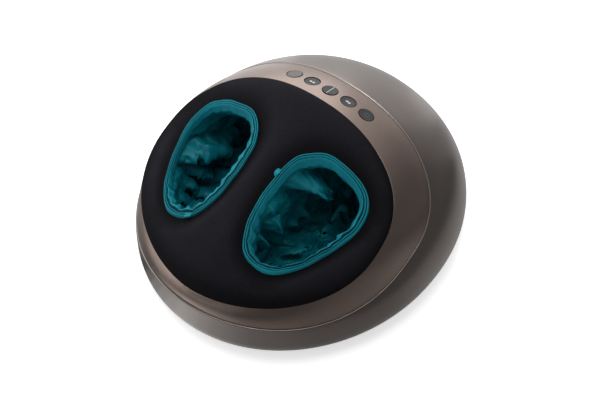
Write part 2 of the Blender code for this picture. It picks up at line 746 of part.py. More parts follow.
def base_tray(finish):
    heights = [PARTING_HEIGHT - FIT_GAP, (PARTING_HEIGHT + FOOT_HEIGHT) / 2, FOOT_HEIGHT]
    outside = [tuck_row(height) for height in heights]
    floor_inset = TUCK_IN + TRAY_BEND_INSET
    outside.append(flat_ring(GIRTH, FOOT_HEIGHT, floor_inset))
    lip = tuck_inset(PARTING_HEIGHT) + SHELL_WALL + FIT_GAP
    lip_top = PARTING_HEIGHT + TONGUE_HEIGHT
    tongue = [flat_ring(GIRTH, heights[0], lip), flat_ring(GIRTH, lip_top, lip),
              flat_ring(GIRTH, lip_top, lip + TONGUE_WALL), flat_ring(GIRTH, heights[0], lip + TONGUE_WALL)]
    inside = [flat_ring(GIRTH, TRAY_FLOOR_TOP, floor_inset)]
    rows = outside[::-1] + tongue + inside
    item = new_object("base_tray", loft("base_tray", rows, False), finish, math.radians(35))
    for k, (x, y) in enumerate(post_places()):
        low, high = FOOT_HEIGHT + TRAY_WALL / 2, TRAY_FLOOR_TOP + TRAY_POST_HEIGHT
        profile = [(TRAY_POST_RADIUS + TRAY_POST_DRAFT, low), (TRAY_POST_RADIUS, high)]
        post = cutter(f"tray_post_{k}", turned(f"tray_post_{k}", profile, 10, (x, y)))
        combine(item, post, "UNION")
    for k in range(VENT_COUNT):
        y = VENT_MIDDLE_Y + (k - (VENT_COUNT - 1) / 2) * VENT_PITCH
        low = (-VENT_LENGTH / 2, y - VENT_WIDTH / 2, FOOT_HEIGHT - OVERRUN)
        high = (VENT_LENGTH / 2, y + VENT_WIDTH / 2, TRAY_FLOOR_TOP + OVERRUN)
        combine(item, cutter(f"vent_{k}", box_mesh(f"vent_{k}", low, high)))
    return item


def post_places():
    """Where the tray's posts carry the gear plate."""
    x = HEAD_X + HEAD_PITCH_RADIUS / 2
    reach = HEAD_PITCH_RADIUS * 2
    return [(side * x, DRIVE_Y + step * reach) for side in (-1, 1) for step in (-1, 0, 1)]


def rubber_foot(name, x, y, finish):
    top = FOOT_HEIGHT - FIT_GAP
    profile = [(FOOT_RADIUS - FOOT_CHAMFER, 0.0), (FOOT_RADIUS, FOOT_CHAMFER), (FOOT_RADIUS, top)]
    item = new_object(name, turned(name, profile, 16), finish, math.radians(35))
    item.location = (x, y, 0.0)
    return item


# Gears

def involute(angle):
    return math.tan(angle) - angle


def gear_outline(teeth):
    """Stub involute teeth, with the first tooth on +X."""
    pitch = GEAR_MODULE * teeth / 2
    base = pitch * math.cos(PRESSURE_ANGLE)
    root = pitch - DEDENDUM_SHARE * GEAR_MODULE
    tip = pitch + ADDENDUM_SHARE * GEAR_MODULE
    half_pitch = (math.pi * GEAR_MODULE / 2 - BACKLASH) / 2 / pitch

    def half_angle(radius):
        return half_pitch + involute(PRESSURE_ANGLE) - involute(math.acos(min(1.0, base / radius)))

    flank = [(root, half_angle(max(root, base))), (pitch, half_angle(pitch)), (tip, half_angle(tip))]
    tooth = [(radius, -turn) for radius, turn in flank] + flank[::-1]
    outline = []
    for k in range(teeth):
        middle = 2 * math.pi * k / teeth
        for radius, turn in tooth:
            outline.append(Vector((radius * math.cos(middle + turn), radius * math.sin(middle + turn), 0.0)))
    return outline


def gear_mesh(name, teeth, bore):
    """A gear round its own axis, from height 0 to its face width."""
    low = gear_outline(teeth)
    high = [p + Vector((0.0, 0.0, GEAR_FACE)) for p in low]
    count = len(low)
    sides = [(k, (k + 1) % count, count + (k + 1) % count, count + k) for k in range(count)]
    mesh = mesh_from(name, low + high, sides + [tuple(range(count)), tuple(range(count, 2 * count))])
    blank = new_object(name + "_blank", mesh)
    if bore:
        cut_cylinder(blank, name + "_bore", (0.0, 0.0), bore, -OVERRUN, GEAR_FACE + OVERRUN)
    made = settled_mesh(blank)
    bpy.data.objects.remove(blank)
    return made


def mesh_phase(parent_phase, parent_teeth, teeth, direction):
    """The turn that puts a gear in mesh with its parent, which lies back along direction."""
    pitch = 2 * math.pi / parent_teeth
    offset = (parent_phase - direction) % pitch
    return direction + math.pi - offset * parent_teeth / teeth - math.pi / teeth


def head_mesh():
    """A turned disc on a neck, with domed massage nodes."""
    neck_drop = HEAD_DISC_BOTTOM - GEAR_TOP - FIT_GAP
    round_off = HEAD_DISC_THICKNESS / 3
    profile = [(HEAD_NECK_RADIUS, -neck_drop), (HEAD_NECK_RADIUS, 0.0), (HEAD_RADIUS - round_off, 0.0),
               (HEAD_RADIUS, round_off), (HEAD_RADIUS - round_off, HEAD_DISC_THICKNESS)]
    blank = new_object("head_blank", turned("head_blank", profile, 18))
    for k in range(NODE_COUNT):
        angle = 2 * math.pi * k / NODE_COUNT
        place = (NODE_CIRCLE_RADIUS * math.cos(angle), NODE_CIRCLE_RADIUS * math.sin(angle))
        rise = HEAD_DISC_THICKNESS + NODE_RISE - round_off
        profile = [(NODE_RADIUS * out, round_off + rise * up) for out, up in NODE_SECTION_SHARES]
        combine(blank, cutter(f"node_{k}", turned(f"node_{k}", profile, 10, place)), "UNION")
    bore_top = min(AXLE_HEAD_REACH, neck_drop + HEAD_DISC_THICKNESS) - neck_drop + FIT_GAP
    cut_cylinder(blank, "head_bore", (0.0, 0.0), AXLE_RADIUS + FIT_GAP, -neck_drop - OVERRUN, bore_top)
    made = settled_mesh(blank)
    bpy.data.objects.remove(blank)
    return made


def place_copy(name, mesh, middle, height, phase):
    item = new_object(name, mesh)
    item.location = (middle[0], middle[1], height)
    item.rotation_euler = (0.0, 0.0, phase)
    return item


def finished(mesh, finish, smooth_angle):
    mesh.materials.clear()
    mesh.materials.append(finish)
    mesh.shade_smooth()
    mesh.set_sharp_from_angle(angle=smooth_angle)
    return mesh


def axle(name, middle, top, finish):
    low = PLATE_BOTTOM + FIT_GAP
    mesh = turned(name, [(AXLE_RADIUS, low), (AXLE_RADIUS, top)], 10, middle)
    return new_object(name, mesh, finish, math.radians(40))


def head_places():
    """Name, place and phase of the six massage heads."""
    places = []
    for side_name, side in (("left", -1), ("right", 1)):
        direction = 0.0 if side > 0 else math.pi
        arch_phase = mesh_phase(0.0, DRIVE_TEETH, HEAD_TEETH, direction)
        places.append((f"{side_name}_arch", (side * HEAD_X, DRIVE_Y), arch_phase))
        for part, step in (("heel", -1), ("toe", 1)):
            phase = mesh_phase(arch_phase, HEAD_TEETH, HEAD_TEETH, step * math.pi / 2)
            y = DRIVE_Y + step * 2 * HEAD_PITCH_RADIUS
            places.append((f"{side_name}_{part}", (side * HEAD_X, y), phase))
    return places


def massage_train(plastic, head_finish, steel):
    bore = AXLE_RADIUS + FIT_GAP
    gear = finished(gear_mesh("head_gear", HEAD_TEETH, bore), plastic, math.radians(30))
    head = finished(head_mesh(), head_finish, math.radians(50))
    for name, middle, phase in head_places():
        place_copy(f"head_gear_{name}", gear, middle, GEAR_BOTTOM, phase)
        place_copy(f"massage_head_{name}", head, middle, HEAD_DISC_BOTTOM, phase)
        axle(f"axle_{name}", middle, GEAR_TOP + AXLE_HEAD_REACH - FIT_GAP, steel)
    drive = finished(gear_mesh("drive_gear", DRIVE_TEETH, bore), plastic, math.radians(30))
    place_copy("drive_gear", drive, (0.0, DRIVE_Y), GEAR_BOTTOM, 0.0)
    axle("axle_drive", (0.0, DRIVE_Y), COVER_BOTTOM - FIT_GAP, steel)


def motor_pinion(finish):
    """The pinion on its shaft, which turns in the plate below and the gearbox above."""
    wheel = new_object("motor_pinion", gear_mesh("motor_pinion", PINION_TEETH, None), finish)
    low = PLATE_BOTTOM + FIT_GAP - GEAR_BOTTOM
    high = COVER_TOP + SHAFT_ENTRY - GEAR_BOTTOM
    shaft = cutter("pinion_shaft", turned("pinion_shaft", [(AXLE_RADIUS, low), (AXLE_RADIUS, high)], 10))
    combine(wheel, shaft, "UNION")
    wheel.location = (0.0, PINION_Y, GEAR_BOTTOM)
    wheel.rotation_euler = (0.0, 0.0, mesh_phase(0.0, DRIVE_TEETH, PINION_TEETH, math.pi / 2))
    shaft.parent = wheel
    return wheel


def plate_outline(margin):
    """Outline that holds all the head gears."""
    half_x = HEAD_X + HEAD_TIP_RADIUS + margin
    half_y = 2 * HEAD_PITCH_RADIUS + HEAD_TIP_RADIUS + margin
    return Egg(half_x, DRIVE_Y, half_y, half_y, PLATE_POWER, PLATE_POWER)


def gear_plate(finish):
    shape = plate_outline(PLATE_MARGIN + COVER_WALL)
    rows = [flat_ring(shape, PLATE_BOTTOM, 0.0, PLATE_POINTS), flat_ring(shape, PLATE_TOP, 0.0, PLATE_POINTS)]
    item = new_object("gear_plate", loft("gear_plate", rows, False), finish, math.radians(35))
    middles = [middle for _, middle, _ in head_places()] + [(0.0, DRIVE_Y), (0.0, PINION_Y)]
    for k, middle in enumerate(middles):
        cut_cylinder(item, f"plate_bore_{k}", middle, AXLE_RADIUS + FIT_GAP, PLATE_BOTTOM - OVERRUN,
                     PLATE_TOP + OVERRUN, 10)
    return item


def sole_cover(finish):
    """A lid over the gears with a round hole for each massage head's neck."""
    outer, inner = plate_outline(PLATE_MARGIN + COVER_WALL), plate_outline(PLATE_MARGIN)
    foot = PLATE_TOP + FIT_GAP
    rows = [flat_ring(inner, COVER_BOTTOM, 0.0, PLATE_POINTS), flat_ring(inner, foot, 0.0, PLATE_POINTS),
            flat_ring(outer, foot, 0.0, PLATE_POINTS), flat_ring(outer, COVER_TOP, 0.0, PLATE_POINTS)]
    item = new_object("sole_cover", loft("sole_cover", rows, False), finish, math.radians(35))
    for k, (_, middle, _) in enumerate(head_places()):
        cut_cylinder(item, f"neck_hole_{k}", middle, HEAD_NECK_RADIUS + RUNNING_GAP, COVER_BOTTOM - OVERRUN,
                     COVER_TOP + OVERRUN, 20)
    cut_cylinder(item, "pinion_hole", (0.0, PINION_Y), AXLE_RADIUS + RUNNING_GAP, COVER_BOTTOM - OVERRUN,
                 COVER_TOP + OVERRUN, 12)
    return item


def gearmotor(finish):
    """A round gearbox that stands on the sole cover, with the motor on top."""
    low = COVER_TOP + FIT_GAP
    can_low = low + GEARBOX_HEIGHT
    can_high = can_low + MOTOR_HEIGHT
    end_high = can_high + MOTOR_END_HEIGHT
    profile = [(GEARBOX_RADIUS, low), (GEARBOX_RADIUS, can_low), (MOTOR_RADIUS, can_low),
               (MOTOR_RADIUS, can_high), (MOTOR_END_RADIUS, can_high), (MOTOR_END_RADIUS, end_high)]
    mesh = turned("gearmotor", profile, 20, (0.0, PINION_Y))
    item = new_object("gearmotor", mesh, finish, math.radians(35))
    cut_cylinder(item, "gearmotor_bore", (0.0, PINION_Y), AXLE_RADIUS + FIT_GAP, low - OVERRUN,
                 low + SHAFT_ENTRY + FIT_GAP)
    return item


# Keys, control board and its bracket

def surface_tree(item):
    mesh = settled_mesh(item)
    points = [item.matrix_world @ v.co for v in mesh.vertices]
    return BVHTree.FromPolygons(points, [tuple(p.vertices) for p in mesh.polygons])


def row_frame(deck_tree, x):
    """Where the deck's face lies at a place of the key row, with its normal as +Z."""
    hit, normal, _, _ = deck_tree.ray_cast(Vector((x, KEY_ROW_Y, BODY_LENGTH)), Vector((0.0, 0.0, -1.0)))
    if normal.z < 0:
        normal = -normal
    side = Vector((0.0, 1.0, 0.0)).cross(normal).normalized()
    ahead = normal.cross(side)
    turn = Matrix((side, ahead, normal)).transposed().to_4x4()
    return Matrix.Translation(hit) @ turn


def key_frames(deck_tree):
    """The key row's frames, each turned as the bend of the whole row has it."""
    frames = []
    for k in range(KEY_COUNT):
        x = (k - (KEY_COUNT - 1) / 2) * KEY_PITCH
        near, far = row_frame(deck_tree, x - KEY_RADIUS / 2), row_frame(deck_tree, x + KEY_RADIUS / 2)
        here = row_frame(deck_tree, x)
        normal = (near.col[2] + far.col[2]).to_3d().normalized()
        side = Vector((0.0, 1.0, 0.0)).cross(normal).normalized()
        turn = Matrix((side, normal.cross(side), normal)).transposed().to_4x4()
        frames.append(Matrix.Translation(here.to_translation()) @ turn)
    return frames


def board_frame(frames):
    """The board lies square to the middle key's travel."""
    return frames[KEY_COUNT // 2] @ Matrix.Translation((0.0, 0.0, -BOARD_DROP))


def stem_length(frame, board):
    """How far a key's stem runs down to its switch, less the travel."""
    origin, way = frame.to_translation(), -frame.col[2].to_3d()
    plane = board.to_translation() + board.col[2].to_3d() * (SWITCH_HEIGHT + FIT_GAP)
    reach = (plane - origin).dot(board.col[2].to_3d()) / way.dot(board.col[2].to_3d())
    return reach - KEY_TRAVEL - FIT_GAP


def control_key(name, frame, board, finish, stem_places=(0.0,)):
    """A round cap with a flange that holds it under the deck, and a stem for each switch."""
    flange_top = -DECK_WALL - KEY_FLANGE_DROP
    low = min(KEY_PROUD - KEY_CAP_DEPTH, flange_top - KEY_FLANGE_DEPTH)
    flange = KEY_RADIUS + KEY_FLANGE
    profile = [(flange, low), (flange, flange_top), (KEY_RADIUS, flange_top),
               (KEY_RADIUS, KEY_PROUD - KEY_EDGE_ROUND), (KEY_RADIUS - KEY_EDGE_ROUND, KEY_PROUD)]
    item = new_object(name, turned(name, profile, KEY_POINTS), finish, math.radians(35))
    for k, x in enumerate(stem_places):
        section = [(KEY_STEM_RADIUS, -stem_length(frame, board)), (KEY_STEM_RADIUS, low / 2)]
        stem = cutter(f"{name}_stem_{k}", turned(f"{name}_stem_{k}", section, 8, (x, 0.0)))
        stem.parent = item
        combine(item, stem, "UNION")
    item.matrix_world = frame
    return item


def cut_key_holes(deck, frames):
    radius, reach = KEY_RADIUS + FIT_GAP, DECK_WALL * 3
    profile = [(radius, -reach), (radius, reach)]
    for k, frame in enumerate(frames):
        tool = cutter(f"key_hole_{k}", turned(f"key_hole_{k}", profile, KEY_POINTS))
        tool.matrix_world = frame
        combine(deck, tool)


def stem_places(index):
    """Where a key's stems stand: the middle key is a rocker with two."""
    return (-ROCKER_STEM_X, ROCKER_STEM_X) if index == KEY_COUNT // 2 else (0.0,)


def control_board(board, frames, finish):
    """A flat board with a push switch under each key's stem."""
    half = (BOARD_LENGTH / 2, BOARD_DEPTH / 2)
    mesh = box_mesh("control_board", (-half[0], -half[1], -BOARD_THICKNESS), (half[0], half[1], 0.0))
    item = new_object("control_board", mesh, finish)
    stems = [(frame, x) for k, frame in enumerate(frames) for x in stem_places(k)]
    for k, (frame, x) in enumerate(stems):
        local = board.inverted() @ frame @ Matrix.Translation((x, 0.0, 0.0))
        way = -local.col[2].to_3d()
        foot = local.to_translation() + way * (local.to_translation().z / -way.z)
        low = (foot.x - SWITCH_SIZE / 2, foot.y - SWITCH_SIZE / 2, -BOARD_THICKNESS / 2)
        high = (foot.x + SWITCH_SIZE / 2, foot.y + SWITCH_SIZE / 2, SWITCH_HEIGHT)
        tool = cutter(f"switch_{k}", box_mesh(f"switch_{k}", low, high))
        tool.parent = item
        combine(item, tool, "UNION")
    item.matrix_world = board
    return item


def board_bracket(board, deck_tree, finish):
    """A strip under the board whose end posts hang from the deck's underside."""
    half_x = BOARD_LENGTH / 2 + FIT_GAP + BRACKET_POST
    half_y = BOARD_DEPTH / 2
    low = -BOARD_THICKNESS - FIT_GAP - BRACKET_THICKNESS
    strip = box_mesh("board_bracket", (-half_x, -half_y, low), (half_x, half_y, low + BRACKET_THICKNESS))
    item = new_object("board_bracket", strip, finish)
    for k, side in enumerate((-1, 1)):
        corners = [(side * half_x, -half_y / 2), (side * (half_x - BRACKET_POST), -half_y / 2),
                   (side * (half_x - BRACKET_POST), half_y / 2), (side * half_x, half_y / 2)]
        foot = [Vector((x, y, low + BRACKET_THICKNESS / 2)) for x, y in corners]
        head = []
        for point in foot:
            start = board @ point
            way = board.col[2].to_3d()
            hit = deck_tree.ray_cast(start, way)[0]
            head.append(board.inverted() @ (hit - way * (FIT_GAP * 2)))
        tool = cutter(f"bracket_post_{k}", loft(f"bracket_post_{k}", [foot, head], False))
        tool.parent = item
        combine(item, tool, "UNION")
    item.matrix_world = board
    return item


# Air system

def air_pump(finish):
    low = TRAY_FLOOR_TOP + FIT_GAP
    shoulder = low + PUMP_HEIGHT
    cap = shoulder + PUMP_CAP_HEIGHT
    profile = [(PUMP_RADIUS, low), (PUMP_RADIUS, shoulder), (PUMP_CAP_RADIUS, shoulder),
               (PUMP_CAP_RADIUS, cap), (PUMP_SPOUT_RADIUS, cap), (PUMP_SPOUT_RADIUS, cap + PUMP_CAP_HEIGHT)]
    mesh = turned("air_pump", profile, 20, (PUMP_X, PUMP_Y))
    return new_object("air_pump", mesh, finish, math.radians(35))


def air_valve(finish):
    low = TRAY_FLOOR_TOP + FIT_GAP
    corner = (VALVE_X - VALVE_WIDTH / 2, VALVE_Y - VALVE_DEPTH / 2, low)
    far = (VALVE_X + VALVE_WIDTH / 2, VALVE_Y + VALVE_DEPTH / 2, low + VALVE_HEIGHT)
    item = new_object("air_valve", box_mesh("air_valve", corner, far), finish)
    return item


def air_bladder(name, side, liner_tree, finish):
    """A flat air cushion that follows the roof of the toe pocket."""
    x_middle = side * (OPENING_INNER_X + OPENING_HALF_WIDTH + BLADDER_OUTSET)
    rows = []
    for out_share, up_share in BLADDER_SECTION_SHARES:
        ring = []
        for angle in ring_angles(BLADDER_POINTS):
            x = x_middle + BLADDER_HALF_WIDTH * out_share * math.cos(angle)
            y = BLADDER_Y + BLADDER_HALF_LENGTH * out_share * math.sin(angle)
            seat = liner_tree.ray_cast(Vector((x, y, BODY_LENGTH)), Vector((0.0, 0.0, -1.0)))[0]
            ring.append(Vector((x, y, seat.z + BLADDER_SEAT_GAP + BLADDER_THICKNESS * up_share)))
        rows.append(ring)
    return new_object(name, loft(name, rows, False), finish, math.radians(60))


def smooth_route(points):
    """Straight first and last runs, with a smooth curve through the points between them."""
    route = [points[0]]
    for before, a, b, after in zip(points, points[1:], points[2:], points[3:]):
        for k in range(HOSE_STEPS):
            s = k / HOSE_STEPS
            pull_a, pull_b = (b - before) / 2, (after - a) / 2
            route.append(a * (2 * s**3 - 3 * s**2 + 1) + pull_a * (s**3 - 2 * s**2 + s)
                         + b * (3 * s**2 - 2 * s**3) + pull_b * (s**3 - s**2))
    return route + [points[-2], points[-1]]


def hose(name, points, finish):
    curve = bpy.data.curves.new(name, "CURVE")
    curve.dimensions = "3D"
    curve.bevel_depth = HOSE_RADIUS
    curve.bevel_resolution = 2
    curve.use_fill_caps = True
    route = smooth_route(points)
    spline = curve.splines.new("POLY")
    spline.points.add(len(route) - 1)
    for knot, place in zip(spline.points, route):
        knot.co = (*place, 1.0)
    item = bpy.data.objects.new(name, curve)
    bpy.context.scene.collection.objects.link(item)
    curve.materials.append(finish)
    return item


def bladder_hose(name, side, bladder, finish):
    """From the valve's top up behind the toes to the bladder's rear edge."""
    up, back = Vector((0.0, 0.0, 1.0)), Vector((0.0, 1.0, 0.0))
    valve_top = TRAY_FLOOR_TOP + FIT_GAP + VALVE_HEIGHT
    start = Vector((VALVE_X + side * VALVE_WIDTH / 3, VALVE_Y - VALVE_DEPTH / 4, valve_top + FIT_GAP))
    rear = max((v.co for v in bladder.data.vertices), key=lambda p: p.y)
    end = rear + back * FIT_GAP
    behind = end + back * HOSE_BEHIND_TOES
    rise = start + up * HOSE_LOOP_HEIGHT / 2 - back * HOSE_BEHIND_TOES / 3
    middle = (rise + behind) / 2
    points = [start, start + up * HOSE_STUB, rise, middle, behind, end + back * HOSE_STUB, end]
    return hose(name, points, finish)


def pump_hose(finish):
    """From the pump's spout over to the middle of the valve's top."""
    up = Vector((0.0, 0.0, 1.0))
    spout_top = TRAY_FLOOR_TOP + FIT_GAP + PUMP_HEIGHT + 2 * PUMP_CAP_HEIGHT
    start = Vector((PUMP_X, PUMP_Y, spout_top + FIT_GAP))
    end = Vector((VALVE_X, VALVE_Y + VALVE_DEPTH / 4, TRAY_FLOOR_TOP + 2 * FIT_GAP + VALVE_HEIGHT))
    crest = (start + end) / 2
    crest.z = HOSE_LOOP_HEIGHT + TRAY_FLOOR_TOP + 2 * HOSE_STUB
    points = [start, start + up * HOSE_STUB, crest, end + up * 2 * HOSE_STUB, end + up * HOSE_STUB, end]
    return hose("pump_hose", points, finish)


def build():
    clear_scene()
    shell_finish = material("shell_bronze", (0.16, 0.145, 0.13), 0.38, 0.55)
    deck_finish = material("deck_bronze", (0.13, 0.105, 0.09), 0.36, 0.55)
    pad_finish = material("pad_fabric", (0.012, 0.011, 0.014), 0.95)
    liner_finish = material("liner_teal", (0.010, 0.16, 0.18), 0.55)
    trim_finish = material("trim_teal", (0.018, 0.26, 0.29), 0.60)
    key_finish = material("key_grey", (0.055, 0.058, 0.062), 0.45)
    tray_finish = material("tray_plastic", (0.03, 0.03, 0.032), 0.60)
    rubber = material("foot_rubber", (0.02, 0.02, 0.02), 0.90)
    gear_plastic = material("gear_acetal", (0.78, 0.77, 0.72), 0.40)
    head_finish = material("head_plastic", (0.35, 0.36, 0.38), 0.45)
    steel = material("axle_steel", (0.60, 0.60, 0.62), 0.25, 1.0)
    chassis = material("chassis_plastic", (0.10, 0.10, 0.11), 0.55)
    motor_steel = material("motor_can", (0.45, 0.45, 0.46), 0.30, 1.0)
    bladder_finish = material("bladder_film", (0.55, 0.55, 0.52), 0.50)
    hose_finish = material("hose_silicone", (0.70, 0.70, 0.68), 0.55)
    board_green = material("board_laminate", (0.02, 0.12, 0.05), 0.50)

    outer_shell(shell_finish)
    power_inlet(tray_finish)
    deck = deck_shell(deck_finish)
    tree = surface_tree(deck)
    frames = key_frames(tree)
    board = board_frame(frames)
    foot_pad(pad_finish)
    pad_frame(chassis)
    for side_name, side in (("left", -1.0), ("right", 1.0)):
        opening_trim(f"zip_trim_{side_name}", side, trim_finish)
        liner = foot_liner(f"foot_liner_{side_name}", side, liner_finish)
        bladder = air_bladder(f"air_bladder_{side_name}", side, surface_tree(liner), bladder_finish)
        bladder_hose(f"bladder_hose_{side_name}", side, bladder, hose_finish)
        rubber_foot(f"foot_front_{side_name}", side * FOOT_X, FOOT_FRONT_Y, rubber)
        rubber_foot(f"foot_rear_{side_name}", side * FOOT_X, FOOT_REAR_Y, rubber)
    base_tray(tray_finish)
    gear_plate(chassis)
    sole_cover(chassis)
    massage_train(gear_plastic, head_finish, steel)
    motor_pinion(gear_plastic)
    gearmotor(motor_steel)
    names = ("power_key", "massage_key", "intensity_rocker", "air_key", "mode_key")
    for k, (name, frame) in enumerate(zip(names, frames)):
        control_key(name, frame, board, key_finish, stem_places(k))
    cut_key_holes(deck, frames)
    control_board(board, frames, board_green)
    board_bracket(board, tree, chassis)
    air_pump(chassis)
    air_valve(chassis)
    pump_hose(hose_finish)


build()
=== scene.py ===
import json
import math
from collections import namedtuple

import bmesh
import bpy
import numpy as np
from mathutils import Matrix, Vector, noise
from mathutils.geometry import delaunay_2d_cdt

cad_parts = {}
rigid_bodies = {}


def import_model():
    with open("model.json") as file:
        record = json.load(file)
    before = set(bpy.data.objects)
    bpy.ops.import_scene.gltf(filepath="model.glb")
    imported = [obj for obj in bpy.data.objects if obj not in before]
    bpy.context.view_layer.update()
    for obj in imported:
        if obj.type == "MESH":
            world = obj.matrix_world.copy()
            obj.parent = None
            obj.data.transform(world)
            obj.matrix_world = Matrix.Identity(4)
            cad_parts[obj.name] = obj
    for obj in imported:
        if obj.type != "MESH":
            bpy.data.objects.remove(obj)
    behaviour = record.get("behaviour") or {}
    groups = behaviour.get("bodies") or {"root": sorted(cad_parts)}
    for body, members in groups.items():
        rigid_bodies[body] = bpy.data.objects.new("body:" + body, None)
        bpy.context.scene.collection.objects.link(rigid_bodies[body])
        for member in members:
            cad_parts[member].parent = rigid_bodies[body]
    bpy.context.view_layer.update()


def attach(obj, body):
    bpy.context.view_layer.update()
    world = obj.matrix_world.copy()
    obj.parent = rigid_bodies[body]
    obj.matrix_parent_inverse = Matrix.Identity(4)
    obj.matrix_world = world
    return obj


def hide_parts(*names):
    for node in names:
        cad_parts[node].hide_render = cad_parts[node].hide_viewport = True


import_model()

HOUSING = "housing"
SIDES = {"right": 1.0, "left": -1.0}
MM = 0.001
TAU = 2 * math.pi
TINY = 1e-12

# ---- sizes in metres
Egg = namedtuple("Egg", "half_width middle_y front rear front_power rear_power")
Dome = namedtuple("Dome", "top slope bend_x bend_y")

# Outlines from above, and the domes on which they lie
GIRTH = Egg(0.1923, 0.0022, 0.2180, 0.2136, 1.98, 2.15)
SEAM = Egg(0.175, -0.0286, 0.1872, 0.1173, 2.02, 2.89)
PAD = Egg(0.156, -0.0693, 0.1376, 0.1013, 1.86, 2.70)
SEAM_DOME = Dome(0.16205, 0.286, 0.2245, 0.774)
EDGE_DOME = Dome(0.19337, 0.244, 0.2714, 0.408)
CROWN_DOME = Dome(0.21147, 0.338, 0.2108, 1.30)
RING = 224

FIT_GAP = 0.0003
SOFT_GAP = 0.0004

# Outer shell
GIRTH_HEIGHT = 0.034
TUCK_IN = 0.030
FOOT_HEIGHT = 0.004
PARTING_HEIGHT = 0.014
PARTING_ROUND = 0.0006
SHELL_ARC_REAR = math.radians(53.6)
SHELL_ARC_SIDE = math.radians(59.5)
SHELL_ARC_FRONT = math.radians(45.8)
SHELL_WALL = 0.0026
ARC_ROWS = 31
LOW_ROWS = 7
INSIDE_STRIDE = 4
INLET_PLACE = (0.0, 0.2141, 0.0532)
INLET_BARREL_RADIUS = 0.0058

# The seam: the outer shell's narrow land, which carries a bead and falls inward round the angle
# LAND_FACING, the ledge under it, and the line between it and the deck
LAND_WIDTH = 0.0016
LAND_EDGE_ROUND = 0.0003
LAND_ROUND = 0.0004
LAND_FACING = -1.05
LAND_FADE = 0.6
LAND_BEAD = 0.00008
LAND_BEAD_SHARE = 0.45
LAND_FALL = 0.00032
LEDGE_WIDTH = 0.0064
LEDGE_DEPTH = 0.0030
SEAM_LINE = 0.0002

# Deck shell, and its lip round the pad
DECK_INSET = LAND_WIDTH + SEAM_LINE
DECK_EDGE_ROUND = 0.0004
DECK_WALL = 0.0024
DECK_BULGE = 0.00275
DECK_ROWS = 17
RECESS_DEPTH = 0.007
FLANGE_WIDTH = 0.010
LIP_START_ROUND = 0.0002
LIP_ROUND = 0.0004
LIP_WIDTH = 0.0008
LIP_FALL = 0.00028

# Keys
KEY_RADIUS = 0.0098
KEY_PROUD = 0.0006
KEY_ROUND = 0.0009
KEY_DISH = 0.00035
KEY_DISH_RADIUS = KEY_RADIUS - KEY_ROUND
KEY_DISH_MIDDLE = 0.0006
# Width of the key's rim that is painted black as the shadow of the gap round it
KEY_GAP_SHADE_WIDTH = 0.0006
KEY_FRAMES = {
    "power_key": ((-0.0524, 0.05621, 0.18778), (-0.28158, 0.29079, 0.91442)),
    "massage_key": ((-0.0262, 0.05621, 0.19170), (-0.10218, 0.29638, 0.94959)),
    "intensity_rocker": ((0.0, 0.05621, 0.19462), (0.0, 0.29794, 0.95458)),
    "air_key": ((0.0262, 0.05621, 0.19187), (0.10218, 0.29638, 0.94959)),
    "mode_key": ((0.0524, 0.05621, 0.18790), (0.28158, 0.29079, 0.91442)),
}
KEY_BODIES = {name: "key_" + name.split("_")[0] for name in KEY_FRAMES}
PRINT_RISE = 0.00006
PRINT_SINK = 0.0001

# Foot openings
OPENING_INNER_X = 0.0194
OPENING_HALF_WIDTH = 0.050
OPENING_HALF_LENGTH = 0.0722
OPENING_MIDDLE_Y = -0.0882
OPENING_TAPER = 0.25
OPENING_POWER = 2.51
OPENING_DIP = 0.005

# Pad: its crown, the valleys round the trims, the tucked edge, and where shade is painted darker
# into its cloth
CROWN_ROLL = 0.35
VALLEY_DEPTH = 0.0085
VALLEY_WIDTH = 0.0105
VALLEY_FLOOR = 0.0056
TUCK_WIDTH = 0.012
TUCK_DEPTH = 0.0022
PAD_BASE = 0.0027
# Reaches from the trims and from the pad's edge over which shade is painted into the pad's cloth
PAINTED_SHADE_VALLEY = 0.0150
PAINTED_SHADE_EDGE = 0.0170
PAD_PITCH = 0.0034
PAD_EDGE_COUNT = 260
PAD_RIM_COUNT = 132
PAD_EDGE_STEPS = (0.0006, 0.0014, 0.0026, 0.0042, 0.0062, 0.0086)
PAD_RIM_STEPS = (0.0010, 0.0024, 0.0042, 0.0064, 0.0090)
PAD_REACH = 0.12

# Trims: the tape's section in tenths of a millimetre, as pairs of inset and drop from the rim, how
# far its puckers move it, and the angle at which a folded end stands up
RIM = 330
TENTH = 0.0001
TAPE_ROLLS = [(3, 105), (3, 24), (5, 10), (10, 2), (15, 2), (19, 10), (23, 19), (27, 10), (31, 5),
              (35, 6), (38, 13), (42, 22)]
TAPE_BAND = [(46, 14), (52, 12), (57, 20), (60, 32), (62, 47), (64, 63), (66, 79), (68, 94),
             (70, 107), (71, 117), (67, 122)]
TAPE_BACK = [(62, 117), (59, 101), (56, 81), (52, 62), (49, 105)]
# Rows in the tape's grooves painted dark teal: the stitching thread, with painted shade of the
# grooves
THREAD_AND_SHADE_ROWS = (5, 6, 11, 12)
ROLL_WIDTH = 18
BACK_TOP = 40
BACK_HEIGHT = 80
BACK_SEWN = 48
TAPE_SWAY = 0.0010
TAPE_RISE = 0.0006
PUCKER_IN = 0.0019
PUCKER_UP = 0.0016
HEM_DOWN = 0.0024
RIGHT_LEAN = 0.0042
LEFT_LEAN = 0.0078
NEAR_WAY = (0.55, -0.83)
TABS = {"right": 2.95, "left": 4.34}
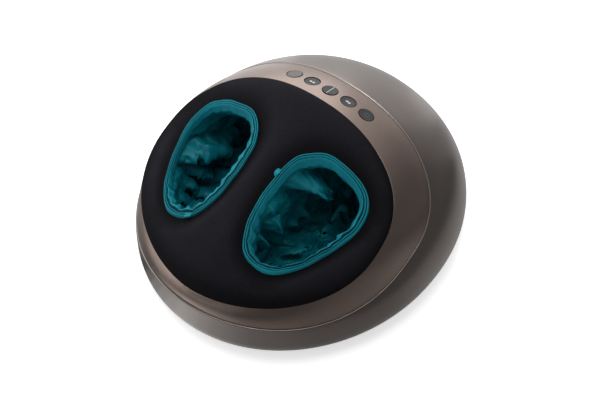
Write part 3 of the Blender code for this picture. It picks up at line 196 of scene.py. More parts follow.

# Liners: rings from each opening's rim down the pocket's wall and across its floor to the middle
POCKET_MIDDLE_X = 0.068
LINER_RING = 150
LINER_ROWS = 44
LINER_FLOOR_RINGS = 17
LINER_WALL = 0.0020
LINER_FLOOR = 0.0535
LINER_INSET = 0.0012
LINER_DROP = 0.0085
TAUT_INSET = 0.0052
TAUT_DROP = 0.0028
TAUT_SHARE = 0.12
TOE_REACH = 0.074
TOE_ROOF_SHARE = 0.45
LINER_NECK_SHARE = 0.08
LINER_FLOOR_TUCK = 0.010
WALL_WAVE = 0.0026
WALL_WAVES = 5
SEWN_ROWS = 6
SLACK_INSET = 0.0055
FOLD_RISE = 2.2
FOLD_VALLEY = 0.55
CLOTH = dict(quality=6, mass=0.15, tension_stiffness=25.0, compression_stiffness=25.0,
             shear_stiffness=8.0, tension_damping=6.0, compression_damping=6.0,
             shear_damping=6.0, air_damping=4.0, pin_stiffness=1.0)
CLOTH_MOVE = 0.014
CLOTH_GRAIN = 0.0003

# The pockets' main folds in millimetres: a line of points, the fold's height and its half width
FOLDS = {
    "right": [
        ([(25, -52, 158), (32, -26, 140), (44, 0, 122), (62, 22, 108), (88, 30, 104)], 20, 12),
        ([(50, 34, 66), (60, 6, 58), (72, -26, 57), (82, -50, 57)], 17, 9),
        ([(24, -56, 80), (40, -50, 60), (60, -46, 57), (80, -44, 57)], 13, 8),
        ([(24, -40, 92), (33, -37, 64), (46, -28, 57)], 9, 6),
        ([(23, -96, 124), (27, -92, 88), (42, -84, 60), (60, -72, 57)], 12, 8),
        ([(25, -120, 116), (32, -114, 86), (48, -102, 60), (68, -88, 57)], 12, 7),
        ([(36, -140, 100), (46, -130, 70), (64, -112, 57)], 11, 7),
        ([(112, -50, 108), (108, -26, 78), (96, 0, 58)], 12, 9),
    ],
    "left": [
        ([(-120, -88, 126), (-121, -60, 116), (-119, -30, 100), (-110, 6, 88), (-98, 32, 80),
          (-80, 44, 80)], 14, 10),
        ([(-120, -72, 92), (-112, -58, 66), (-96, -40, 57), (-76, -26, 57)], 10, 8),
        ([(-112, -90, 86), (-104, -84, 60), (-84, -76, 57)], 6, 7),
        ([(-98, -112, 88), (-90, -104, 62), (-72, -94, 57)], 5, 7),
        ([(-100, 30, 60), (-84, 4, 57), (-66, -10, 57)], 8, 8),
        ([(-70, -140, 96), (-64, -130, 66), (-54, -116, 57)], 4, 7),
    ],
}
# Fine creases: waves a metre, sharpness and height
CREASES = ((12.0, 4.0, 0.0075), (27.0, 6.0, 0.0030), (70.0, 6.0, 0.0006))


# ---- outlines and surfaces
def points_at(x, y, z):
    return np.stack(np.broadcast_arrays(x, y, z), axis=1)


def unit(vectors):
    return vectors / np.maximum(np.linalg.norm(vectors, axis=-1, keepdims=True), TINY)


def run_along(points):
    """Each point's way from the first along a bent line."""
    return np.append(0.0, np.cumsum(np.linalg.norm(np.diff(points, axis=0), axis=1)))


def squared(value, power):
    """A cosine or sine bent towards the sides of a squarer outline."""
    return np.sign(value) * np.abs(value) ** (2 / power)


def rear_or_front(shape, at_rear):
    """An outline's power and reach, at its rear or at its front."""
    return (np.where(at_rear, shape.rear_power, shape.front_power),
            np.where(at_rear, shape.rear, shape.front))


def level(across, along, power):
    """Below 1 inside a squared outline, 1 on it and above 1 outside."""
    return (np.abs(across) ** power + np.abs(along) ** power) ** (1 / power)


def egg_xy(shape, angles, inset=0.0):
    """Points of an outline drawn in by inset, at angles of its round parameter."""
    cosine, sine = np.cos(angles), np.sin(angles)
    power, reach = rear_or_front(shape, sine > 0)
    x = (shape.half_width - inset) * squared(cosine, power)
    return x, shape.middle_y + (reach - inset) * squared(sine, power)


def opening_xy(side, angles, inset=0.0):
    across = squared(np.cos(angles), OPENING_POWER)
    along = squared(np.sin(angles), OPENING_POWER)
    width = (OPENING_HALF_WIDTH - inset) * (1 + across) * (1 + OPENING_TAPER * along)
    x = side * (OPENING_INNER_X + inset + width)
    return x, OPENING_MIDDLE_Y + (OPENING_HALF_LENGTH - inset) * along


def opening_level(x, y):
    along = (y - OPENING_MIDDLE_Y) / OPENING_HALF_LENGTH
    lean = 1 + OPENING_TAPER * np.clip(along, -1.0, 1.0)
    across = (np.abs(x) - OPENING_INNER_X) / (OPENING_HALF_WIDTH * lean) - 1
    return level(across, along, OPENING_POWER)


def pad_level(x, y):
    power, reach = rear_or_front(PAD, y > PAD.middle_y)
    return level(x / PAD.half_width, (y - PAD.middle_y) / reach, power)


def dome_height(dome, x, y):
    return dome.top + dome.slope * y - x * x / (2 * dome.bend_x) - y * y / (2 * dome.bend_y)


def rim_height(x, y):
    return dome_height(CROWN_DOME, x, y) - OPENING_DIP


def even_angles(outline, count, fine=16384):
    """Parameters that split a closed outline into equal lengths."""
    angles = np.linspace(0.0, TAU, fine + 1)
    run = run_along(np.stack(outline(angles), axis=1))
    return np.interp(np.arange(count) / count * run[-1], run, angles)


def even_rim(count):
    return even_angles(lambda angles: opening_xy(1.0, angles), count)


SEAM_ANGLES = even_angles(lambda angles: egg_xy(SEAM, angles), RING)
RIM_ANGLES = even_rim(RIM)


def egg_ring(shape, dome, inset=0.0, drop=0.0):
    x, y = egg_xy(shape, SEAM_ANGLES, inset)
    return points_at(x, y, dome_height(dome, x, y) - drop)


def flat_ring(shape, height, inset):
    return points_at(*egg_xy(shape, SEAM_ANGLES, inset), height)


def rim_ring(side, inset, drop, angles=RIM_ANGLES):
    x, y = opening_xy(side, angles, inset)
    return points_at(x, y, rim_height(x, y) - drop)


def offset_rows(rows, distance):
    """Rows moved square to the surface that they span."""
    moved = []
    for i, row in enumerate(rows):
        above, below = rows[max(i - 1, 0)], rows[min(i + 1, len(rows) - 1)]
        along = np.roll(row, -1, axis=0) - np.roll(row, 1, axis=0)
        moved.append(row + unit(np.cross(along, below - above)) * distance)
    return moved


def rounded(rows, corners):
    """A closed section of rings whose corner rings are rounded off by a radius, in steps."""
    out = []
    for i, row in enumerate(rows):
        if i not in corners:
            out.append(row)
            continue
        radius, steps = corners[i]
        ends = []
        for other in (rows[i - 1], rows[(i + 1) % len(rows)]):
            run = other - row
            most = 0.45 * np.linalg.norm(run, axis=1, keepdims=True)
            ends.append(row + unit(run) * np.minimum(radius, most))
        for t in np.linspace(0.0, 1.0, steps + 1):
            out.append(ends[0] * (1 - t) ** 2 + row * (2 * t * (1 - t)) + ends[1] * t * t)
    return out


# ---- meshes and pieces
def band_faces(rows, ring, closed_section):
    """Faces between rings of points, joined in a loop where the section is closed."""
    faces = []
    for i in range(rows if closed_section else rows - 1):
        base, over = i * ring, (i + 1) % rows * ring
        for k in range(ring):
            after = (k + 1) % ring
            faces.append((base + k, base + after, over + after, over + k))
    return faces


def tube_faces(rows, ring, start=0):
    """Faces of a tube with both ends closed, whose points follow start others."""
    ends = [tuple(range(ring)), tuple(range((rows - 1) * ring, rows * ring))]
    return [tuple(start + i for i in face) for face in band_faces(rows, ring, False) + ends]


def mesh_of(name, points, faces, outward=True):
    mesh = bpy.data.meshes.new(name)
    mesh.from_pydata([tuple(map(float, p)) for p in points], [], faces)
    if outward:
        shape = bmesh.new()
        shape.from_mesh(mesh)
        bmesh.ops.recalc_face_normals(shape, faces=shape.faces)
        shape.to_mesh(mesh)
        shape.free()
    return mesh


def section_mesh(name, rows):
    return mesh_of(name, np.concatenate(rows), band_faces(len(rows), len(rows[0]), True))


def turned_mesh(name, profile, count):
    """A round solid from pairs of radius and height."""
    turn = np.arange(count) / count * TAU
    points = [points_at(r * np.cos(turn), r * np.sin(turn), height) for r, height in profile]
    return mesh_of(name, np.concatenate(points), tube_faces(len(profile), count))


def linked(name, data):
    """A new object in the scene."""
    item = bpy.data.objects.new(name, data)
    bpy.context.scene.collection.objects.link(item)
    return item


def add_piece(name, mesh, finish, body=HOUSING, replaces=None, smooth=35.0):
    item = linked(name, mesh)
    mesh.materials.append(finish.made)
    mesh.shade_smooth()
    if smooth is not None:
        mesh.set_sharp_from_angle(angle=math.radians(smooth))
    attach(item, body)
    if replaces:
        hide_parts(replaces)
    return item


def settle(item):
    """Applies a piece's modifiers."""
    bpy.context.view_layer.update()
    graph = bpy.context.evaluated_depsgraph_get()
    mesh = bpy.data.meshes.new_from_object(item.evaluated_get(graph), depsgraph=graph)
    item.modifiers.clear()
    item.data = mesh


def drill(item, radius, reach, sides, frames):
    """Cuts a round hole along Z at each of the frames."""
    mesh = turned_mesh("drill", [(radius, -reach), (radius, reach)], sides)
    tools = []
    for k, matrix in enumerate(frames):
        tool = linked(f"drill_{k}", mesh)
        tool.matrix_world = matrix
        step = item.modifiers.new(f"hole_{k}", "BOOLEAN")
        step.operation = "DIFFERENCE"
        step.solver = "EXACT"
        step.object = tool
        tools.append(tool)
    settle(item)
    for tool in tools:
        bpy.data.objects.remove(tool, do_unlink=True)


def vertex_values(mesh, what):
    values = np.empty(len(mesh.vertices) * 3, np.float32)
    mesh.vertices.foreach_get(what, values)
    return values.reshape(-1, 3)


def place_vertices(mesh, points):
    mesh.vertices.foreach_set("co", points.astype(np.float32).ravel())
    mesh.update()


# ---- materials
class Graph:
    """The nodes of a material or a world."""

    def __init__(self, made):
        self.made = made
        made.use_nodes = True
        self.nodes, self.links = made.node_tree.nodes, made.node_tree.links

    def adjust(self, node, **settings):
        """Gives a node's sockets, named with _ for a space, and its properties their values."""
        for key, value in settings.items():
            socket = key.replace("_", " ")
            if socket in node.inputs:
                node.inputs[socket].default_value = value
            else:
                setattr(node, key, value)

    def node(self, kind, fed=None, **settings):
        """A new node with its settings, and with other nodes' outputs fed into it."""
        made = self.nodes.new("ShaderNode" + kind)
        self.adjust(made, **settings)
        for socket, source in (fed or {}).items():
            self.links.new(source, made.inputs[socket])
        return made

    def math(self, operation, first, second):
        made = self.node("Math", {0: first}, operation=operation)
        if isinstance(second, float):
            made.inputs[1].default_value = second
        else:
            self.links.new(second, made.inputs[1])
        return made.outputs[0]


class Finish(Graph):
    """A material made up step by step around one shader."""

    def __init__(self, name, color, roughness, **sockets):
        super().__init__(bpy.data.materials.new(name))
        self.made.diffuse_color = (*color, 1.0)
        self.shader = self.nodes["Principled BSDF"]
        self.adjust(self.shader, Base_Color=(*color, 1.0), Roughness=roughness, **sockets)
        self.place = self.node("TexCoord").outputs["Object"]
        self.normal = None

    def noise(self, scale, detail=2.0, stretch=None):
        place = self.place
        if stretch:
            place = self.node("Mapping", {"Vector": place}, Scale=stretch).outputs[0]
        made = self.node("TexNoise", {"Vector": place}, Scale=scale, Detail=detail)
        return made.outputs["Fac"]

    def tint(self, source, other):
        """Blends the base colour towards another by a 0..1 value."""
        made = self.node("Mix", {"Factor": source}, data_type="RGBA", B=(*other, 1.0))
        socket = self.shader.inputs["Base Color"]
        if socket.is_linked:
            self.links.new(socket.links[0].from_socket, made.inputs["A"])
        else:
            made.inputs["A"].default_value = socket.default_value
        self.links.new(made.outputs["Result"], socket)

    def mottle(self, other, scale, detail, low, high, share=None):
        """Blotches of another colour: none where a noise is below low, full above high."""
        spread = self.node("MapRange", {"Value": self.noise(scale, detail)},
                           From_Min=low, From_Max=high).outputs[0]
        self.tint(self.math("MULTIPLY", spread, share) if share else spread, other)

    def rough(self, source, low, high):
        """Lets the roughness go from low to high with a 0..1 value."""
        made = self.node("MapRange", {"Value": source}, To_Min=low, To_Max=high)
        self.links.new(made.outputs[0], self.shader.inputs["Roughness"])

    def bump(self, source, depth, strength=1.0):
        made = self.node("Bump", {"Height": source}, Strength=strength, Distance=depth)
        if self.normal is not None:
            self.links.new(self.normal, made.inputs["Normal"])
        self.normal = made.outputs["Normal"]
        self.links.new(self.normal, self.shader.inputs["Normal"])

    def knit(self, pitch, turn):
        """A close weave of two crossed waves, from 0 to 1."""
        one_a_metre = 0.314
        heights = []
        for across in (0.0, math.pi / 2):
            moved = self.node("Mapping", {"Vector": self.place},
                              Rotation=(0.0, 0.0, turn + across))
            wave = self.node("TexWave", {"Vector": moved.outputs[0]}, wave_type="BANDS",
                             bands_direction="X", Scale=one_a_metre / pitch, Distortion=0.0)
            heights.append(wave.outputs["Fac"])
        return self.math("MULTIPLY", *heights)


def shade_of(color, factor):
    return tuple(min(1.0, c * factor) for c in color)


def moulded(name, color, roughness, depth=0.00002, scale=900.0, **sockets):
    """Plain moulded plastic: a fine grain, slow changes of shade and gloss."""
    made = Finish(name, color, roughness, **sockets)
    made.mottle(shade_of(color, 0.88), 9.0, 2.0, 0.35, 0.7)
    made.rough(made.noise(23.0, 3.0), roughness - 0.04, roughness + 0.05)
    made.bump(made.noise(scale, 1.0), depth)
    return made


def coated_plastic(name, color, other):
    """Plastic under a satin coat with fine metal flakes."""
    made = Finish(name, color, 0.35, Metallic=0.92, Coat_Weight=0.10, Coat_Roughness=0.30)
    made.mottle(other, 6.0, 2.0, 0.35, 0.7)
    made.mottle(shade_of(color, 2.2), 3500.0, 0.0, 0.62, 0.8, 0.35)
    made.rough(made.noise(40.0, 4.0), 0.32, 0.39)
    made.bump(made.noise(1400.0, 2.0), 0.00001, 0.6)
    return made


def key_plastic(name, color, gloss):
    return moulded(name, color, 0.46, 0.00001, 2200.0, Specular_IOR_Level=gloss)


def key_print(name, color):
    return moulded(name, color, 0.5, 0.00001, 2600.0)


def pad_cloth():
    """Black knit, with painted shade in the valleys round the trims and at the tucked edge."""
    made = Finish("black_knit", (0.0078, 0.0074, 0.0102), 0.92, Specular_IOR_Level=0.07)
    weave = made.knit(0.0009, 0.35)
    made.tint(weave, (0.015, 0.014, 0.0175))
    made.mottle((0.006, 0.0055, 0.0075), 14.0, 3.0, 0.4, 0.75, 0.5)
    made.mottle((0.024, 0.0225, 0.030), 760.0, 2.0, 0.45, 0.80, 0.40)
    # Painted shade: the cloth is darkened in the valleys round the trims and at the tucked edge
    nap = made.node("Attribute", attribute_name="nap")
    made.tint(made.math("MULTIPLY", nap.outputs["Fac"], 0.82), (0.0012, 0.0011, 0.0015))
    made.rough(made.noise(60.0, 2.0), 0.86, 0.98)
    made.bump(weave, 0.00012, 0.7)
    made.bump(made.noise(180.0, 3.0), 0.0002, 0.25)
    return made


def teal_cloth(name, color, deep, bright, roughness, pitch, gloss):
    """Woven cloth with brighter threads and deeper patches."""
    made = Finish(name, color, roughness, Specular_IOR_Level=gloss)
    weave = made.knit(pitch, 0.6)
    made.tint(made.math("MULTIPLY", weave, 0.7), bright)
    made.mottle(deep, 22.0, 3.0, 0.4, 0.75, 0.6)
    made.rough(made.noise(90.0, 2.0), roughness - 0.06, roughness + 0.06)
    made.bump(weave, 0.0001, 0.6)
    made.bump(made.noise(120.0, 3.0), 0.0003, 0.3)
    return made


def metal(name, color, roughness, stretch):
    """Metal with fine lines along Z or round it."""
    made = Finish(name, color, roughness, Metallic=1.0)
    lines = made.noise(600.0, 3.0, stretch)
    made.tint(lines, shade_of(color, 0.85))
    made.rough(lines, roughness - 0.06, roughness + 0.08)
    made.bump(lines, 0.00001, 0.5)
    return made


def board_laminate():
    made = Finish("green_laminate", (0.015, 0.11, 0.045), 0.4)
    checks = made.node("TexBrick", {"Vector": made.place}, Scale=160.0)
    made.tint(made.math("MULTIPLY", checks.outputs["Fac"], 0.6), (0.03, 0.17, 0.07))
    made.bump(made.noise(400.0), 0.00002)
    return made


SHELL_FINISH = coated_plastic("satin_grey_bronze", (0.170, 0.146, 0.135), (0.148, 0.125, 0.114))
DECK_FINISH = coated_plastic("satin_brown_bronze", (0.210, 0.161, 0.139), (0.180, 0.137, 0.117))
KEY_FINISH = key_plastic("charcoal_key", (0.026, 0.027, 0.029), 0.28)
# Painted reflection: the charcoal key plastic made lighter grey for the power key, for its
# reflection of the bright back
PAINTED_REFLECTION_KEY_FINISH = key_plastic("grey_key", (0.105, 0.100, 0.098), 0.30)
# Painted shade: the shadow of the gap round each key, painted black on the key's rim
KEY_GAP_SHADE_FINISH = moulded("black_key_edge", (0.004, 0.004, 0.004), 0.7, Specular_IOR_Level=0.05)
PRINT_FINISH = key_print("white_print", (0.62, 0.63, 0.63))
DIM_PRINT_FINISH = key_print("dim_print", (0.10, 0.10, 0.10))
PAD_FINISH = pad_cloth()
TRIM_FINISH = teal_cloth("teal_tape", (0.006, 0.190, 0.245), (0.002, 0.105, 0.140),
                         (0.016, 0.300, 0.370), 0.60, 0.0007, 0.10)
# Dark teal of the stitching thread, darkened further as painted shade in the grooves
THREAD_AND_GROOVE_SHADE_FINISH = teal_cloth("stitched_groove", (0.001, 0.030, 0.042), (0.0005, 0.015, 0.022),
                           (0.004, 0.070, 0.090), 0.7, 0.0011, 0.05)
LINER_FINISH = teal_cloth("teal_satin", (0.001, 0.135, 0.170), (0.0005, 0.080, 0.105),
                          (0.005, 0.205, 0.250), 0.45, 0.0006, 0.11)

# Materials for the CAD nodes that stay, by the start of their names
INNER_FINISHES = {
    ("base_tray", "power_inlet"):
        moulded("black_moulded", (0.022, 0.022, 0.024), 0.55, scale=1600.0),
    ("gear_plate", "sole_cover", "pad_frame", "board_bracket", "air_pump", "air_valve"):
        moulded("grey_moulded", (0.10, 0.10, 0.11), 0.5),
    ("foot_front", "foot_rear"): moulded("black_rubber", (0.018, 0.018, 0.018), 0.8, scale=700.0),
    ("drive_gear", "head_gear", "motor_pinion"):
        moulded("natural_acetal", (0.72, 0.71, 0.66), 0.38),
    ("bladder_hose", "pump_hose"): moulded("soft_silicone", (0.66, 0.66, 0.64), 0.5),
    ("air_bladder",): moulded("bladder_film", (0.52, 0.52, 0.49), 0.45),
    ("massage_head",): moulded("smooth_head", (0.34, 0.35, 0.37), 0.35),
    ("axle_",): metal("ground_steel", (0.58, 0.58, 0.60), 0.28, (1.0, 1.0, 12.0)),
    ("gearmotor",): metal("plated_can", (0.46, 0.46, 0.47), 0.32, (1.0, 1.0, 0.2)),
    ("control_board",): board_laminate(),
}


def dress_inside():
    for item in bpy.context.scene.objects:
        for starts, finish in INNER_FINISHES.items():
            if item.type == "MESH" and item.name.startswith(starts):
                for slot in item.material_slots:
                    slot.material = finish.made


# ---- outer shell
def shell_row(share):
    """A ring of the skirt, from the girth at 0 to the seam at 1, on arcs that bulge outward."""
    sine = np.sin(SEAM_ANGLES)
    end = np.where(sine > 0, SHELL_ARC_REAR, SHELL_ARC_FRONT)
    arc = SHELL_ARC_SIDE + (end - SHELL_ARC_SIDE) * sine * sine
    turn = arc * share
    out = (np.cos(turn) - np.cos(arc)) / (1 - np.cos(arc))
    up = np.sin(turn) / np.sin(arc)
    seam = egg_ring(SEAM, SEAM_DOME)
    girth = flat_ring(GIRTH, GIRTH_HEIGHT, 0.0)
    flat = seam[:, :2] + (girth - seam)[:, :2] * out[:, None]
    return np.column_stack([flat, GIRTH_HEIGHT + (seam[:, 2] - GIRTH_HEIGHT) * up])


def tuck_inset(height):
    share = (GIRTH_HEIGHT - height) / (GIRTH_HEIGHT - FOOT_HEIGHT)
    return TUCK_IN * (1 - math.sqrt(max(0.0, 1 - share * share)))


def outer_shell():
    arc_rows = [shell_row(share) for share in np.linspace(1.0, 0.0, ARC_ROWS)]
    heights = np.linspace(GIRTH_HEIGHT, PARTING_HEIGHT, LOW_ROWS + 1)[1:]
    outside = arc_rows + [flat_ring(GIRTH, h, tuck_inset(h)) for h in heights]
    inside = offset_rows(outside[::INSIDE_STRIDE] + [outside[-1]], SHELL_WALL)[1:]
    inside[-1][:, 2] = PARTING_HEIGHT
    ledge_end = LAND_WIDTH + LEDGE_WIDTH
    facing = np.clip(np.cos(SEAM_ANGLES - LAND_FACING) / LAND_FADE, 0.0, 1.0)
    steps = [(ledge_end, LEDGE_DEPTH + SHELL_WALL), (ledge_end, LEDGE_DEPTH),
             (LAND_WIDTH, LEDGE_DEPTH), (LAND_WIDTH, LAND_FALL * facing),
             (LAND_BEAD_SHARE * LAND_WIDTH, -LAND_BEAD * facing)]
    rows = outside + inside[::-1] + [egg_ring(SEAM, SEAM_DOME, *step) for step in steps]
    corners = {0: (LAND_EDGE_ROUND, 2), len(outside) - 1: (PARTING_ROUND, 3),
               len(rows) - 2: (LAND_ROUND, 4), len(rows) - 1: (LAND_EDGE_ROUND, 3)}
    item = add_piece("shell_skin", section_mesh("shell_skin", rounded(rows, corners)),
                     SHELL_FINISH, replaces="outer_shell")
    inlet = Matrix.Translation(INLET_PLACE) @ Matrix.Rotation(-math.pi / 2, 4, "X")
    drill(item, INLET_BARREL_RADIUS + FIT_GAP, 0.016, 48, [inlet])


# ---- deck
def deck_row(share, inner=False):
    """A ring of the deck's outer or inner face, from the seam at 0 to the pad at 1."""
    low = egg_ring(SEAM, SEAM_DOME, DECK_INSET)
    run = egg_ring(PAD, EDGE_DOME) - low
    flat = np.linalg.norm(run[:, :2], axis=1)
    share = np.full(len(run), share)
    if inner:
        share = share * np.maximum(1 - (RECESS_DEPTH + DECK_WALL) / run[:, 2],
                                   1 - 2 * DECK_WALL / flat)
    out = unit(run * (1.0, 1.0, 0.0))
    normal = unit(np.array([0.0, 0.0, 1.0]) * flat[:, None] - out * run[:, 2:3])
    swell = DECK_BULGE * 4 * share * (1 - share) - (DECK_WALL if inner else 0.0)
    return low + run * share[:, None] + normal * swell[:, None]


def deck_shell():
    top = [deck_row(share) for share in np.linspace(0.0, 1.0, DECK_ROWS)]
    lip = top[-1] + unit(top[-2] - top[-1]) * LIP_WIDTH
    top[-1:] = [lip, top[-1] - (0.0, 0.0, LIP_FALL)]
    flange = RECESS_DEPTH + DECK_WALL
    steps = [(0.0, RECESS_DEPTH), (FLANGE_WIDTH, RECESS_DEPTH), (FLANGE_WIDTH, flange),
             (0.0, flange)]
    recess = [egg_ring(PAD, EDGE_DOME, *step) for step in steps]
    under = [deck_row(share, inner=True) for share in (1.0, 0.8, 0.6, 0.4, 0.2)]
    foot = [egg_ring(SEAM, SEAM_DOME, inset, LEDGE_DEPTH - FIT_GAP)
            for inset in (DECK_INSET + DECK_WALL, DECK_INSET)]
    corners = {0: (DECK_EDGE_ROUND, 4), len(top) - 2: (LIP_START_ROUND, 2),
               len(top) - 1: (LIP_ROUND, 4)}
    rows = rounded(top + recess + under + foot, corners)
    item = add_piece("deck_skin", section_mesh("deck_skin", rows), DECK_FINISH,
                     replaces="deck_shell")
    drill(item, KEY_RADIUS + FIT_GAP, 0.007, 64, map(key_frame, KEY_FRAMES))


# ---- keys
def key_frame(name):
    """A key's own frame: Z out of the deck, X level."""
    place, normal = KEY_FRAMES[name]
    normal = Vector(normal).normalized()
    side = Vector((0.0, 1.0, 0.0)).cross(normal).normalized()
    turn = Matrix((side, normal.cross(side), normal)).transposed().to_4x4()
    return Matrix.Translation(place) @ turn


def key_height(x, y):
    """Height of the dished face of a key."""
    return KEY_PROUD - KEY_DISH * (1 - (x * x + y * y) / KEY_DISH_RADIUS ** 2)


def key_cap(name):
    wide, foot, top = KEY_RADIUS + 0.0012, -0.0055, -0.0043
    flange = [(wide, foot), (wide, top), (KEY_RADIUS, top)]
    edge = [(KEY_DISH_RADIUS + KEY_ROUND * math.sin(t), KEY_PROUD - KEY_ROUND * (1 - math.cos(t)))
            for t in np.linspace(math.pi / 2, 0.0, 7)]
    dish = [(r, key_height(r, 0.0)) for r in np.linspace(KEY_DISH_RADIUS, KEY_DISH_MIDDLE, 9)[1:]]
    item = add_piece(f"{name}_cap", turned_mesh(name, flange + edge + dish, 72),
                     # The power key takes the lighter grey of a painted reflection
                     PAINTED_REFLECTION_KEY_FINISH if name == "power_key" else KEY_FINISH,
                     body=KEY_BODIES[name], replaces=name)
    item.matrix_world = key_frame(name)
    item.data.materials.append(KEY_GAP_SHADE_FINISH.made)
    # The outer faces of each key get painted shade: black, as the gap's shadow
    for face in item.data.polygons:
        reach = math.hypot(face.center.x, face.center.y)
        if reach > KEY_RADIUS - KEY_GAP_SHADE_WIDTH and len(face.vertices) == 4:
            face.material_index = 1


def glyph(name, key, outlines, finish=PRINT_FINISH):
    """Thin printed marks that follow the key's dish, from outlines in millimetres."""
    points, faces = [], []
    for outline in outlines:
        faces += tube_faces(2, len(outline), len(points))
        for lift in (-PRINT_SINK, PRINT_RISE):
            points += [(x * MM, y * MM, key_height(x * MM, y * MM) + lift) for x, y in outline]
    item = add_piece(name, mesh_of(name, points, faces), finish, body=KEY_BODIES[key])
    item.matrix_world = key_frame(key)


def twice(outline):
    """An outline, and the same turned half round."""
    return [outline, [(-x, -y) for x, y in outline]]


def arc_mark(radius, start, end, width, count=14):
    """An open ring as one outline."""
    angles = np.radians(np.linspace(start, end, count + 1))
    outer, inner = ([(reach * math.cos(a), reach * math.sin(a)) for a in angles]
                    for reach in (radius + width / 2, radius - width / 2))
    return outer + inner[::-1]


def glyphs():
    arrow = [(-4.0, 0.0), (-1.6, 2.1), (-1.6, 0.7), (-0.3, 0.7), (-0.3, -0.7), (-1.6, -0.7),
             (-1.6, -2.1)]
    wing = [(-3.6, -0.9), (-0.5, -0.9), (-0.5, 1.9), (-1.9, 1.9)]
    line = [(-0.35, -8.0), (0.35, -8.0), (0.35, 8.0), (-0.35, 8.0)]
    glyph("massage_marks", "massage_key", twice(arrow))
    glyph("rocker_line", "intensity_rocker", [line])
    glyph("air_marks", "air_key", twice(wing))
    glyph("mode_marks", "mode_key", twice(arc_mark(3.0, 20, 160, 0.45)), DIM_PRINT_FINISH)


# ---- pad
def pad_top(x, y):
    """Height of the crowned pad: rolled at its edge, dipping into the openings."""
    base = dome_height(EDGE_DOME, x, y)
    inward = np.maximum(0.0, 1 - pad_level(x, y))
    roll = np.sqrt(np.maximum(0.0, 1 - np.maximum(0.0, 1 - inward / CROWN_ROLL) ** 2))
    out = np.maximum(0.0, opening_level(x, y) - 1) * OPENING_HALF_WIDTH
    dip = VALLEY_DEPTH * np.exp(-(out / VALLEY_WIDTH) ** 2)
    crown = base + (dome_height(CROWN_DOME, x, y) - base) * roll
    return np.maximum(crown - dip, np.minimum(crown, base - RECESS_DEPTH + VALLEY_FLOOR))


def painted_valley_shade(x, y):
    """How much painted shade darkens the pad: in the valleys round the trims and at the tucked
    edge.
    """
    valley = 1 - np.clip((opening_level(x, y) - 1) * OPENING_HALF_WIDTH / PAINTED_SHADE_VALLEY, 0.0, 1.0)
    edge = 1 - np.clip((1 - pad_level(x, y)) * PAD.half_width / PAINTED_SHADE_EDGE, 0.0, 1.0)
    dark = np.maximum(valley, edge)
    return dark * dark * (3 - 2 * dark)


def pad_plan():
    """Plan triangles of the pad, in rings along its edge and round both openings."""
    edge_angles = even_angles(lambda angles: egg_xy(PAD, angles), PAD_EDGE_COUNT)
    rim_angles = even_rim(PAD_RIM_COUNT)
    points, lines = [], []

    def scatter(x, y, keep):
        points.extend(Vector((float(a), float(b))) for a, b, k in zip(x, y, keep) if k)

    def loop(x, y):
        start, count = len(points), len(x)
        scatter(x, y, [True] * count)
        lines.extend((start + k, start + (k + 1) % count) for k in range(count))

    def off_rims(x, y, room):
        return opening_level(x, y) > 1.0 + (PAD_RIM_STEPS[-1] + room) / OPENING_HALF_WIDTH

    def off_edge(x, y):
        return pad_level(x, y) < 1 - (PAD_EDGE_STEPS[-1] + PAD_PITCH) / PAD_REACH

    loop(*egg_xy(PAD, edge_angles, SOFT_GAP))
    for side in SIDES.values():
        loop(*opening_xy(side, rim_angles))
    for step in PAD_EDGE_STEPS:
        x, y = egg_xy(PAD, edge_angles, SOFT_GAP + step)
        scatter(x, y, off_rims(x, y, PAD_PITCH))
    for step in PAD_RIM_STEPS:
        for side in SIDES.values():
            x, y = opening_xy(side, rim_angles, -step)
            scatter(x, y, off_edge(x, y) & (np.abs(x) > 0.6 * PAD_PITCH))
    across = np.arange(-PAD.half_width, PAD.half_width, PAD_PITCH)
    front, rear = PAD.middle_y - PAD.front, PAD.middle_y + PAD.rear
    for row, row_y in enumerate(np.arange(front, rear, PAD_PITCH * 0.866)):
        x = across + (row % 2) * PAD_PITCH / 2
        y = np.full_like(x, row_y)
        scatter(x, y, off_edge(x, y) & off_rims(x, y, 0.7 * PAD_PITCH))
    places, _, triangles = delaunay_2d_cdt(points, lines, [], 1, 1e-5)[:3]
    plan = np.array([tuple(place) for place in places])
    middles = np.array([plan[list(face)].mean(axis=0) for face in triangles])
    keep = opening_level(middles[:, 0], middles[:, 1]) > 1
    return plan, [tuple(face) for face, k in zip(triangles, keep) if k]


def border_edges(faces):
    """Edges that only one face has, as that face goes round."""
    seen = {}
    for face in faces:
        for k, a in enumerate(face):
            b = face[(k + 1) % len(face)]
            key = (min(a, b), max(a, b))
            seen[key] = None if key in seen else (a, b)
    return [edge for edge in seen.values() if edge]


def foot_pad():
    plan, faces = pad_plan()
    x, y = plan[:, 0], plan[:, 1]
    tuck = np.clip(1 - (1 - pad_level(x, y)) / TUCK_WIDTH, 0.0, 1.0)
    top = pad_top(x, y) - TUCK_DEPTH * tuck ** 2
    low = dome_height(EDGE_DOME, x, y) - RECESS_DEPTH + SOFT_GAP + PAD_BASE
    points = np.concatenate([points_at(x, y, top), points_at(x, y, low)])
    shift = len(x)
    solid = faces + [tuple(i + shift for i in face[::-1]) for face in faces]
    solid += [(b, a, a + shift, b + shift) for a, b in border_edges(faces)]
    item = add_piece("pad_cover", mesh_of("pad_cover", points, solid), PAD_FINISH,
                     replaces="foot_pad", smooth=60.0)
    # The share of painted shade at each point, which darkens the pad's cloth
    nap = item.data.attributes.new("nap", "FLOAT", "POINT")
    nap.data.foreach_set("value", np.concatenate([painted_valley_shade(x, y)] * 2).astype(np.float32))


